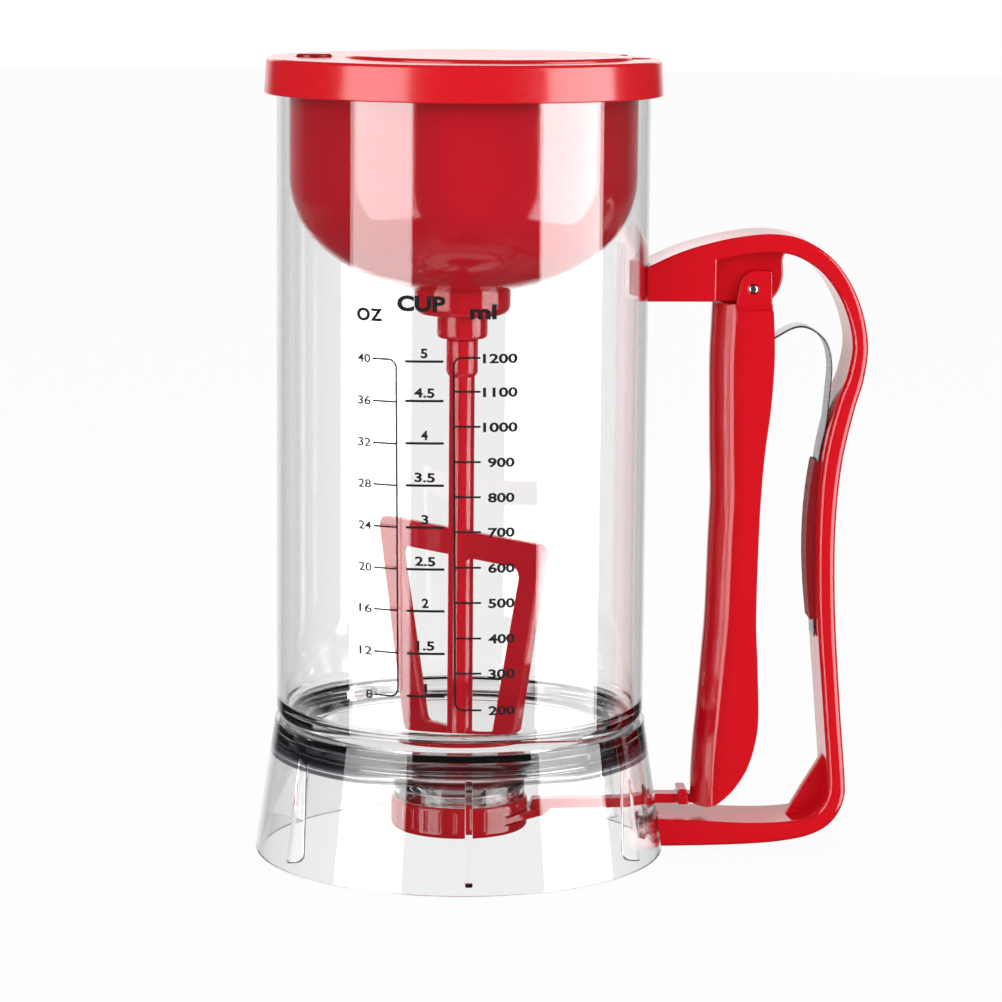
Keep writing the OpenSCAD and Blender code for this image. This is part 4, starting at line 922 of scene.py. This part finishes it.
class DISPENSER_OT_spring(bpy.types.Operator):
    """Leaf spring between the trigger and the strap, and the clip that holds its tail."""
    bl_idname = "dispenser.spring"
    bl_label = "Leaf spring"

    def execute(self, context):
        px, pz = PIVOT
        tip = px - 8.1
        span = TUBE_R + REACH - 5.8 * 0.43 - tip
        hoop = np.array([[0, -39], [0.013, -34], [0.064, -28], [0.177, -21.6], [0.401, -15.6], [0.568, -12.2],
                         [0.697, -12.9], [0.815, -17], [0.859, -24], [0.848, -33]]) * (span, 1) + (tip, pz)
        height = BAR_Z + HANDLE_H * np.array([0.69, 0.65, 0.60, 0.55, 0.50, 0.42, 0.37, 0.33])
        tail = np.stack([strap_face(height) - 0.5, height], 1)
        line = smooth(np.vstack([hoop, tail]), 10)
        side = sideways(line)
        # Section of the strip, 10 wide and 0.6 thick with round edges: across its width, and along its normal
        section = rounded([(-5, -0.3, 0.25), (5, -0.3, 0.25), (5, 0.3, 0.25), (-5, 0.3, 0.25)], 3)
        across, out = section[:, 0], section[:, 1]
        grid = np.stack([line[:, :1] + side[:, :1] * out, across + 0 * line[:, :1],
                         line[:, 1:] + side[:, 1:] * out], -1)
        spring = solid("spring", grid, wrap=False)
        finished(spring, "leaf_strip", "base", MATERIALS["spring"], ["leaf_spring"])
        spring.parent = None
        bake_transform(spring)
        # The clip is little wider than the strip that it holds
        clip = cad_copy("spring_keeper", "clip")
        clip.data.transform(Matrix.Diagonal((1, 0.68, 1, 1)))
        rounded_edges(clip, 0.3, 50, 2)
        finished(clip, "spring_clip", "base", MATERIALS["clip"], ["spring_keeper"])
        return {"FINISHED"}


class DISPENSER_OT_lid(bpy.types.Operator):
    """Lid with its rim and battery box, the battery door and the power button."""
    bl_idname = "dispenser.lid"
    bl_label = "Lid"

    def execute(self, context):
        lid = turned("lid", [
            (0, PLATE_Z, 0), (57.9, PLATE_Z, 0.3), (57.9, LID_Z, 0.5), (LID_R, LID_Z, 0.6),
            (LID_R - 0.7, LID_TOP, 1.2), (0, LID_TOP, 0)], 288, 8)
        # Under the plate hang the well and, below it, the box of the cells
        wall, well_r, well_z, box_x, box_y, box_z = 1.6, 40.8, 236.4, 30.1, 28.45, 228.6
        well = rod(well_r + wall, well_z - wall, PLATE_Z + 0.5, segments=192)
        lid = combine(lid, placed(well, DOOR_X), "UNION")
        box = block((CELLS_X - box_x - wall, -box_y - wall, box_z - wall),
                    (CELLS_X + box_x + wall, box_y + wall, well_z))
        lid = combine(lid, box, "UNION")
        # The recess and the holes have a small chamfer where they meet the top face
        ledge, over = 245.9, 252
        recess = turned("recess", [
            (0, ledge, 0), (DOOR_R + 0.3, ledge, 0.3), (DOOR_R + 0.3, LID_TOP - 0.35, 0.1),
            (DOOR_R + 0.7, LID_TOP + 0.05, 0), (DOOR_R + 0.7, over, 0), (0, over, 0)], 192)
        notch_r, hole_r = 7, 5.8
        notch = turned("notch", [
            (0, ledge, 0), (notch_r, ledge, 0.6), (notch_r, LID_TOP - 0.35, 0.1),
            (notch_r + 0.4, LID_TOP + 0.05, 0), (notch_r + 0.4, over, 0), (0, over, 0)], 96)
        hole = turned("hole", [
            (0, 240, 0), (hole_r, 240, 0), (hole_r, LID_TOP - 0.3, 0.1), (hole_r + 0.35, LID_TOP + 0.05, 0),
            (hole_r + 0.35, over, 0), (0, over, 0)], 96)
        cuts = [placed(recess, DOOR_X), placed(notch, DOOR_X + DOOR_R - 1), placed(hole, BUTTON_X),
                placed(rod(well_r, well_z, 247, segments=192), DOOR_X),
                block((CELLS_X - box_x, -box_y, box_z), (CELLS_X + box_x, box_y, PLATE_Z))]
        # Slots for the door's hooks, and holes for the bowl's screws
        edge = DOOR_X - math.sqrt((DOOR_R + 0.3) ** 2 - HOOK_Y ** 2)
        cuts += [block((edge, y - 3.5, PLATE_Z - 3.4), (edge + 8, y + 3.5, DOOR_Z))
                 for y in (-HOOK_Y, HOOK_Y)]
        cuts += [placed(rod(1.65, 234, 238.5, segments=32), CELLS_X + x, y)
                 for x in (-35.2, 35.2) for y in (-14, 14)]
        for cut in cuts:
            lid = combine(lid, cut, "DIFFERENCE")
        pegs = [placed(rod(1.2, 235.6, PLATE_Z, segments=32), BUTTON_X + 6, side * 4.4) for side in (-1, 1)]
        lid = joined("lid", [lid] + pegs)
        finished(lid, "lid_shell", "lid", MATERIALS["satin"], ["lid_cover"])

        door_top = DOOR_Z + DOOR_T
        door = turned("door", [
            (0, DOOR_Z, 0), (DOOR_R, DOOR_Z, 0.2), (DOOR_R, door_top, 1.0), (0, door_top, 0)], 256, 8)
        placed(door, DOOR_X)
        grip = turned("grip", [
            (0, 240, 0), (notch_r, 240, 0), (notch_r, door_top - 0.4, 0.3),
            (notch_r + 0.5, door_top + 0.1, 0), (notch_r + 0.5, over, 0), (0, over, 0)], 96)
        door = combine(door, placed(grip, DOOR_X + DOOR_R + 3.2), "DIFFERENCE")
        # Under the door a ring keys it into the well
        ring_in, ring_out, ring_foot, ring_top = 38.8, 40.4, PLATE_Z + 0.3, DOOR_Z + 0.1
        ring = turned("ring", [
            (ring_in, ring_foot, 0.3), (ring_out, ring_foot, 0.3), (ring_out, ring_top, 0),
            (ring_in, ring_top, 0)], 192)
        pieces = [door, placed(ring, DOOR_X)]
        edge = DOOR_X - math.sqrt(DOOR_R ** 2 - HOOK_Y ** 2)
        for y in (-HOOK_Y, HOOK_Y):
            toe, inner, outer, foot = edge - 1.6, edge + 1.6, edge + 3.4, PLATE_Z - 2.1
            hook = rounded([
                (inner, DOOR_Z + 1, 0), (inner, PLATE_Z - 0.4, 0), (toe, PLATE_Z - 0.6, 0.3),
                (toe, foot, 0.6), (outer, foot, 0.6), (outer, DOOR_Z + 1, 0)])
            pieces.append(placed(plate("hook", [hook], 6, 0.2), y=y))
        door = joined("door", pieces)
        finished(door, "cell_door", "door", MATERIALS["satin"], ["battery_door"])

        # The button's face is a shallow dish inside a rolled rim
        button = turned("button", [
            (0, 243.6, 0), (5.5, 243.6, 0.2), (5.5, LID_TOP + 1.07, 0.7), (4.0, LID_TOP + 1.02, 0.5),
            (2.4, LID_TOP + 0.75, 1.5), (0, LID_TOP + 0.7, 0)], 128, 8)
        wings = block((-1.7, -7.5, 243.05), (1.7, 7.5, 244.15))
        stem = rod(1.6, 241.2, 243.8, segments=48)
        button = joined("button", [button, rounded_edges(wings, 0.2), stem])
        finished(placed(button, BUTTON_X), "push_button", "button", MATERIALS["dark"],
                 ["power_button"])
        return {"FINISHED"}


class DISPENSER_OT_bowl(bpy.types.Operator):
    """Motor bowl with its neck and tip."""
    bl_idname = "dispenser.bowl"
    bl_label = "Motor bowl"

    def execute(self, context):
        power, top, deep = 2.15, 212.5, 36.5
        out_r, in_r = 53.7, 51.5
        bore, tip_r, tip_z, neck_r, neck_z = 3, 7.9, 161.6, 15, 169

        def curve(radius, depth, angles):
            """Superellipse below the straight wall: r = radius sin a, and its depth under the top is
            depth times (1 - (r / radius)^power)^(1 / power)."""
            r = radius * np.sin(np.radians(angles))
            return np.stack([r, top - depth * (1 - np.clip(r / radius, 0, 1) ** power) ** (1 / power)], 1)

        outer = curve(out_r, deep, np.linspace(17, 90, 40))
        inner = curve(in_r, deep - (out_r - in_r), np.linspace(90, 8, 30))
        # The neck's line ends inside the bowl's wall, where it is cut off
        neck = rounded([(bore, 195, 0), (bore, tip_z, 0.3), (tip_r, tip_z, 1.3), (tip_r, neck_z, 0.25),
                        (neck_r, neck_z, 3.2), (neck_r, outer[0, 1] + 0.1, 0)], 10)
        neck = neck[neck[:, 1] < 190]
        rim = [(out_r, PLATE_Z - 0.3), (out_r - 0.3, PLATE_Z), (in_r, PLATE_Z)]
        profile = np.vstack([neck, outer, rim, inner, [(bore, inner[-1, 1])]])
        bowl = turned_line("bowl", profile, 288)
        finished(bowl, "motor_bowl", "lid", MATERIALS["mixer"], ["motor_housing"])
        return {"FINISHED"}


class DISPENSER_OT_paddle(bpy.types.Operator):
    """Mixing paddle: a shaft with a thicker sleeve and a flat frame with two windows."""
    bl_idname = "dispenser.paddle"
    bl_label = "Paddle"

    def execute(self, context):
        sizes, _ = sizes_and_colours(context)
        low, high, top_w, foot_w, member, inside = 30.6, 101.4, 39.0, 25.0, 8.4, 3.6
        shaft_r, sleeve_r, sleeve_z, bore, bore_end, shaft_end = 4, 4.95, 150.9, 2.55, 144.3, 161.3
        shaft = turned("shaft", [
            (0, low + 1, 0), (shaft_r, low + 1, 0.6), (shaft_r, sleeve_z - 1.3, 0.3),
            (sleeve_r, sleeve_z, 0.5), (sleeve_r, shaft_end, 0.7), (bore, shaft_end, 0.2),
            (bore, bore_end, 0), (0, bore_end, 0)], 96)
        outline = rounded([(-foot_w, low, 7.5), (foot_w, low, 7.5), (top_w, high, 3), (-top_w, high, 3)], 10)
        windows = []
        for side in (-1, 1):
            corners = [(side * inside, low + member - 1, 1.5),
                       (side * (foot_w - member * 1.05), low + member - 1, 2.5),
                       (side * (top_w - member * 1.22), high - member, 3),
                       (side * inside, high - member, 1.5)]
            loop = rounded(corners, 8)
            windows.append(loop if side < 0 else loop[::-1])
        blade = plate("blade", [outline] + windows, 3, sizes.thin_edge * 1000)
        placed(blade, turn=Matrix.Rotation(math.radians(-51.3), 4, "Z"))
        paddle = combine(shaft, blade, "UNION")
        finished(paddle, "mixing_paddle", "mixer", MATERIALS["mixer"], ["paddle"])
        return {"FINISHED"}


def bent(points, turn, height):
    """Lays flat print (x, y, thickness) on the tube, just clear of it: x becomes an arc from the angle turn,
    in degrees from the front towards the handle, y becomes height, and the print leans by a hundredth of a
    degree per mm."""
    lean, upright, lift = 0.0105, 160, 0.05
    z = height + points[:, 1]
    a = np.radians(turn + lean * (upright - z)) + points[:, 0] / TUBE_R
    r = TUBE_R + lift + points[:, 2]
    return np.stack([r * np.sin(a), -r * np.cos(a), z], 1)


def lettered(text, width, height, weight, turn, base, ink):
    """Text as a thin closed mesh on the tube: its strokes are thickened by weight, and it is stretched to its
    width and height and centred on the angle turn."""
    curve = bpy.data.curves.new("print", "FONT")
    curve.body = text
    curve.size = height / 0.73
    curve.offset = weight
    curve.extrude = ink / 2
    curve.resolution_u = 4
    shape = new_object("print", curve)
    mesh = bpy.data.meshes.new_from_object(shape.evaluated_get(bpy.context.evaluated_depsgraph_get()))
    bpy.data.objects.remove(shape)
    p = np.empty(len(mesh.vertices) * 3, np.float32)
    mesh.vertices.foreach_get("co", p)
    p = p.reshape(-1, 3).astype(float)
    low, size = p.min(0), np.ptp(p, axis=0)
    p = (p - low) * (width / size[0], height / size[1], 1) - (width / 2, 0, -low[2])
    mesh.vertices.foreach_set("co", bent(p, turn, base).astype(np.float32).ravel())
    return new_object("print", mesh)


def ruled(points, width, ink):
    """Printed line along (degrees, height) points, width wide and ink thick, on the tube, in pieces of at
    most half a millimetre so that it follows the curve."""
    line = np.asarray(points, float)
    flat = np.stack([np.radians(line[:, 0]) * TUBE_R, line[:, 1]], 1)
    far = np.concatenate([[0], np.cumsum(np.linalg.norm(np.diff(flat, axis=0), axis=1))])
    at = np.unique(np.concatenate([far, np.linspace(0, far[-1], int(far[-1] / 0.5) + 2)]))
    at = at[np.concatenate([[True], np.diff(at) > 1e-3])]
    flat = np.stack([np.interp(at, far, flat[:, 0]), np.interp(at, far, flat[:, 1])], 1)
    side = sideways(flat) * width / 2
    rails = ((flat - side, 0), (flat + side, 0), (flat + side, ink), (flat - side, ink))
    grid = np.stack([np.column_stack([rail, 0 * rail[:, 0] + height]) for rail, height in rails], 1)
    return solid("line", bent(grid.reshape(-1, 3), 0, 0).reshape(grid.shape), wrap=False)


class DISPENSER_OT_scale(bpy.types.Operator):
    """Printed scale in ounces, cups and millilitres on the front of the tube."""
    bl_idname = "dispenser.scale"
    bl_label = "Printed scale"

    def execute(self, context):
        sizes, _ = sizes_and_colours(context)
        digit = sizes.digit_height * 1000
        thick = sizes.line_width * 1000
        fine = thick * 0.85
        ink = sizes.ink_thickness * 1000
        bold, light = 0.12, 0.03
        marks = []
        turn = np.radians(np.linspace(0, 90, 9))
        bend = 2.4

        def bracket(x, reach, top, foot, width):
            """Upright line whose rounded ends turn into its first and last ticks."""
            out = np.sign(reach - x)
            up = np.stack([x + out * bend * (1 - np.cos(turn)), top - bend + bend * np.sin(turn)], 1)
            down = np.stack([x + out * bend * (1 - np.cos(turn)), foot + bend - bend * np.sin(turn)], 1)[::-1]
            marks.append(ruled(np.vstack([[(reach, foot)], down, up, [(reach, top)]]), width, ink))

        # Ounces: each number stands left of its tick
        x, left = -22.75, -30.4
        heights = (160.95, 148.35, 135.8, 123.3, 110.7, 98.1, 85.5, 72.6, 59.3)
        bracket(x, left, heights[0], heights[-1], fine)
        for k, z in enumerate(heights):
            text = str(40 - 4 * k)
            wide = 2.2 * len(text)
            if 0 < k < len(heights) - 1:
                marks.append(ruled([(left, z), (x, z)], fine, ink))
            marks.append(lettered(text, wide, digit * 0.88, light, left - 0.75 - wide / 2, z - 1.3, ink))
        # Cups: a tick under each number
        heights = (160.7, 148.95, 136.3, 123.65, 111.0, 98.4, 85.75, 72.8, 59.8)
        narrow = {"1": 0.9, "1.5": 5.4}
        for k, z in enumerate(heights):
            text = f"{5 - k / 2:g}"
            wide = narrow.get(text, 6.2 if len(text) > 1 else 2.1)
            marks.append(ruled([(-19.95, z - 0.15), (-8.4, z + 0.15)], thick * 1.2, ink))
            marks.append(lettered(text, wide, digit, bold, -14.15, z + 0.95, ink))
        # Millilitres: each number stands right of its tick
        x, right = -5.35, 2.5
        heights = (162.0, 151.95, 141.5, 130.95, 120.4, 109.9, 99.15, 88.5, 77.7, 67.0, 55.8)
        bracket(x, right, heights[0], heights[-1], thick)
        for k, z in enumerate(heights):
            text = str(1200 - 100 * k)
            if 0 < k < len(heights) - 1:
                marks.append(ruled([(x, z), (right, z)], thick, ink))
            wide, middle = (10.45, 8.45) if len(text) > 3 else (8.1, 8.67)
            marks.append(lettered(text, wide, digit, bold, middle, z - 1.65, ink))
        marks.append(lettered("oz", 8.65, 3.9, 0.06, -31.4, 172.0, ink))
        marks.append(lettered("CUP", 14.7, 4.8, 0.3, -15.0, 175.4, ink))
        marks.append(lettered("ml", 8.0, 4.5, 0.24, 3.4, 173.4, ink))
        finished(joined("scale", marks), "printed_scale", "base", MATERIALS["ink"])
        return {"FINISHED"}


# The camera's turn from square to the handle, in degrees
CAMERA_TURN = 3.5


def lamp(name, size, place, aim, power, **seen):
    """Area lamp of (width, height) in metres; its radiance is its power over pi times its area."""
    light = bpy.data.lights.new(name, "AREA")
    light.shape = "RECTANGLE"
    light.size, light.size_y = size
    light.energy = power * math.pi * size[0] * size[1]
    holder = bpy.data.objects.new(name, light)
    holder.location = place
    holder.rotation_euler = (Vector(aim) - Vector(place)).to_track_quat("-Z", "Y").to_euler()
    for kind, value in seen.items():
        setattr(holder, "visible_" + kind, value)
    bpy.context.scene.collection.objects.link(holder)
    return light


def seen_as(tree):
    """Four shares, each 0 or 1: the ray comes from the camera, straight or through clear plastic; a gloss
    face turned it, even when it has passed through clear plastic since; it has passed through after that
    turn; and it was turned inside the first clear wall, so that it only went in and out."""
    path = add_node(tree, "ShaderNodeLightPath").outputs
    scattered = maths(tree, "MINIMUM", path["Diffuse Depth"], 1.0)
    mirrored = maths(tree, "MINIMUM", path["Glossy Depth"], 1.0)
    ahead = maths(tree, "MAXIMUM", path["Is Camera Ray"], path["Is Transmission Ray"])
    unturned = maths(tree, "SUBTRACT", 1.0, maths(tree, "MAXIMUM", scattered, mirrored))
    straight = maths(tree, "MULTIPLY", ahead, unturned)
    through = maths(tree, "MULTIPLY", path["Is Transmission Ray"], mirrored)
    glossy = maths(tree, "MAXIMUM", path["Is Glossy Ray"], through)
    mirror = maths(tree, "MULTIPLY", glossy, maths(tree, "SUBTRACT", 1.0, scattered))
    trapped = maths(tree, "MULTIPLY", through, maths(tree, "LESS_THAN", path["Transmission Depth"], 3.0))
    return straight, mirror, through, trapped


def make_floor():
    """White sweep: a wide disc just under the skirt's ring, which keeps the object's shadow."""
    radius, sides, sunk, foot = 6, 96, 0.0002, FOOT_R / 1000
    a = np.arange(sides) * 2 * np.pi / sides
    mesh = bpy.data.meshes.new("floor")
    ring = np.stack([radius * np.cos(a), radius * np.sin(a), 0 * a - sunk], 1)
    mesh.from_pydata(ring.tolist(), [], [list(range(sides))])
    disc = new_object("floor", mesh)
    material, tree, where, shader, out = new_material("matt_white_sweep")
    shader.inputs["Roughness"].default_value = 0.9
    paper = waves(tree, where, 0.002, 3.0)
    tree.links.new(tinted(tree, paper, (0.9, 0.9, 0.9), 0.01), shader.inputs["Base Color"])
    # Rays that turned inside the clear base see the paper under it with a painted glow, so that it looks pale
    # there; farther out such rays go on to the room
    straight, _, through, _ = seen_as(tree)
    far = add_node(tree, "ShaderNodeVectorMath", {0: where}, operation="LENGTH").outputs["Value"]
    # Marks the painted glow on the paper under the clear base
    under = maths(tree, "MULTIPLY", maths(tree, "LESS_THAN", far, foot), through)
    beyond = maths(tree, "SUBTRACT", through, under)
    glow = add_node(tree, "ShaderNodeEmission", {"Color": (1, 1, 1, 1), "Strength": 1.0}).outputs["Emission"]
    share = maths(tree, "MULTIPLY_ADD", under, 0.7, maths(tree, "MULTIPLY", straight, 0.95))
    lit = add_node(tree, "ShaderNodeMixShader", {"Fac": share, 1: shader.outputs["BSDF"], 2: glow})
    gone = add_node(tree, "ShaderNodeBsdfTransparent").outputs["BSDF"]
    mix = add_node(tree, "ShaderNodeMixShader", {"Fac": beyond, 1: lit.outputs["Shader"], 2: gone})
    tree.links.new(mix.outputs["Shader"], out.inputs["Surface"])
    disc.data.materials.append(material)
    disc.visible_glossy = False


def make_room(scene, colours):
    """World: white to the camera and through the clear plastic. A gloss face sees white straight behind the
    piece and a dim room to the sides and in front, light that turned inside the first clear wall sees pale
    sides too, and everything else gets even light."""
    world = bpy.data.worlds.new("white_room")
    scene.world = world
    world.use_nodes = True
    tree = world.node_tree
    tree.nodes.clear()
    straight, mirror, _, trapped = seen_as(tree)
    way = add_node(tree, "ShaderNodeTexCoord").outputs["Generated"]
    back = separate(tree, way)["Y"]
    dim = ramp(tree, back, 0.84, 0.96, colours.gloss, 1.0, interpolation_type="SMOOTHSTEP")
    shown = mixed(tree, mirror, colours.room, dim)
    shown = mixed(tree, trapped, shown, ramp(tree, back, 0.5, 0.85, colours.gloss, 0.8))
    strength = mixed(tree, straight, shown, 1.0)
    sky = add_node(tree, "ShaderNodeBackground", {"Color": (1, 1, 1, 1), "Strength": strength})
    add_node(tree, "ShaderNodeOutputWorld", {"Surface": sky.outputs["Background"]})


def make_softbox(name, angle, width, power):
    """Upright softbox in front, at an angle from the middle of the view. It makes a bright band down the
    round walls, and shows only in reflections, also those that are seen through the tube."""
    far, height, z = 0.60, 0.8, 0.13
    a = math.radians(angle - CAMERA_TURN)
    place = (far * math.sin(a), -far * math.cos(a), z)
    light = lamp(name, (width, height), place, (0, 0, z), power, camera=False, diffuse=False)
    light.use_nodes = True
    tree = light.node_tree
    path = add_node(tree, "ShaderNodeLightPath").outputs
    straight, _, _, trapped = seen_as(tree)
    hidden = maths(tree, "MAXIMUM", path["Diffuse Depth"], maths(tree, "MAXIMUM", straight, trapped))
    shown = maths(tree, "SUBTRACT", 1.0, hidden, use_clamp=True)
    tree.links.new(shown, tree.nodes["Emission"].inputs["Strength"])


def make_camera(scene):
    """Camera, from a fit to the rings of the tube, lid and foot: angles in degrees, place in metres."""
    beta, pitch, roll = (math.radians(v) for v in (CAMERA_TURN, 8.934, 0.498))
    look = Vector((math.sin(beta) * math.cos(pitch), math.cos(beta) * math.cos(pitch), -math.sin(pitch)))
    level = Vector((math.cos(beta), -math.sin(beta), 0))
    rise = Vector((math.sin(beta) * math.sin(pitch), math.cos(beta) * math.sin(pitch), math.cos(pitch)))
    x = level * math.cos(roll) + rise * math.sin(roll)
    y = rise * math.cos(roll) - level * math.sin(roll)
    data = bpy.data.cameras.new("camera")
    data.lens, data.sensor_width, data.sensor_fit = 134.08, 36, "HORIZONTAL"
    data.clip_start = 0.05
    camera = bpy.data.objects.new("camera", data)
    camera.matrix_world = Matrix((x, y, -look)).transposed().to_4x4()
    camera.location = Vector((-0.0575, -1.1504, 0.2914)) - x * 0.0004
    scene.collection.objects.link(camera)
    scene.camera = camera


class DISPENSER_OT_stage(bpy.types.Operator):
    """Pale floor, white surroundings, softboxes and the camera."""
    bl_idname = "dispenser.stage"
    bl_label = "Stage"

    def execute(self, context):
        _, colours = sizes_and_colours(context)
        make_floor()
        make_room(context.scene, colours)
        make_softbox("softbox_left", -49.4, 0.43, colours.softbox * 0.75)
        make_softbox("softbox_right", 69.7, 0.49, colours.softbox)
        # Bright panel high up behind, for the top of the lid
        lamp("back_panel", (1.6, 0.5), (0, 1.3, 0.62), (0, 1.0, 0.62), 1.0,
             camera=False, transmission=False, diffuse=False)
        # Even light from in front, left and right, and a little from above
        for name, size, place, power in (("fill_left", (1.2, 1.0), (-1.15, -0.96, 0.55), 2.75),
                                         ("fill_right", (1.2, 1.0), (1.15, -0.96, 0.55), 2.75),
                                         ("top_fill", (1.2, 1.2), (0, 0.1, 1.3), 0.35)):
            lamp(name, size, place, (0, 0, 0.1), power, camera=False, glossy=False, transmission=False)
        make_camera(context.scene)
        context.scene.view_settings.view_transform = "Standard"
        return {"FINISHED"}


class DISPENSER_PT_panel(bpy.types.Panel):
    """Sidebar panel with the sizes, the colours and the pieces."""
    bl_idname = "DISPENSER_PT_panel"
    bl_label = "Batter dispenser"
    bl_space_type = "VIEW_3D"
    bl_region_type = "UI"
    bl_category = "Dispenser"

    def draw(self, context):
        for group in sizes_and_colours(context):
            for name in group.__annotations__:
                self.layout.prop(group, name)
        for piece in PIECES:
            self.layout.operator(piece.bl_idname)


PIECES = [
    DISPENSER_OT_materials, DISPENSER_OT_tube, DISPENSER_OT_skirt, DISPENSER_OT_valve, DISPENSER_OT_handle,
    DISPENSER_OT_trigger, DISPENSER_OT_spring, DISPENSER_OT_lid, DISPENSER_OT_bowl, DISPENSER_OT_paddle,
    DISPENSER_OT_scale, DISPENSER_OT_stage,
]
CLASSES = [DispenserSizes, DispenserColours] + PIECES + [DISPENSER_PT_panel]


def register():
    for item in CLASSES:
        bpy.utils.register_class(item)
    bpy.types.Scene.dispenser_sizes = bpy.props.PointerProperty(type=DispenserSizes)
    bpy.types.Scene.dispenser_colours = bpy.props.PointerProperty(type=DispenserColours)


def unregister():
    del bpy.types.Scene.dispenser_sizes
    del bpy.types.Scene.dispenser_colours
    for item in reversed(CLASSES):
        bpy.utils.unregister_class(item)


def main():
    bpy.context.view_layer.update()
    register()
    for piece in PIECES:
        getattr(bpy.ops.dispenser, piece.bl_idname.split(".")[1])()


if __name__ == "__main__":
    main()
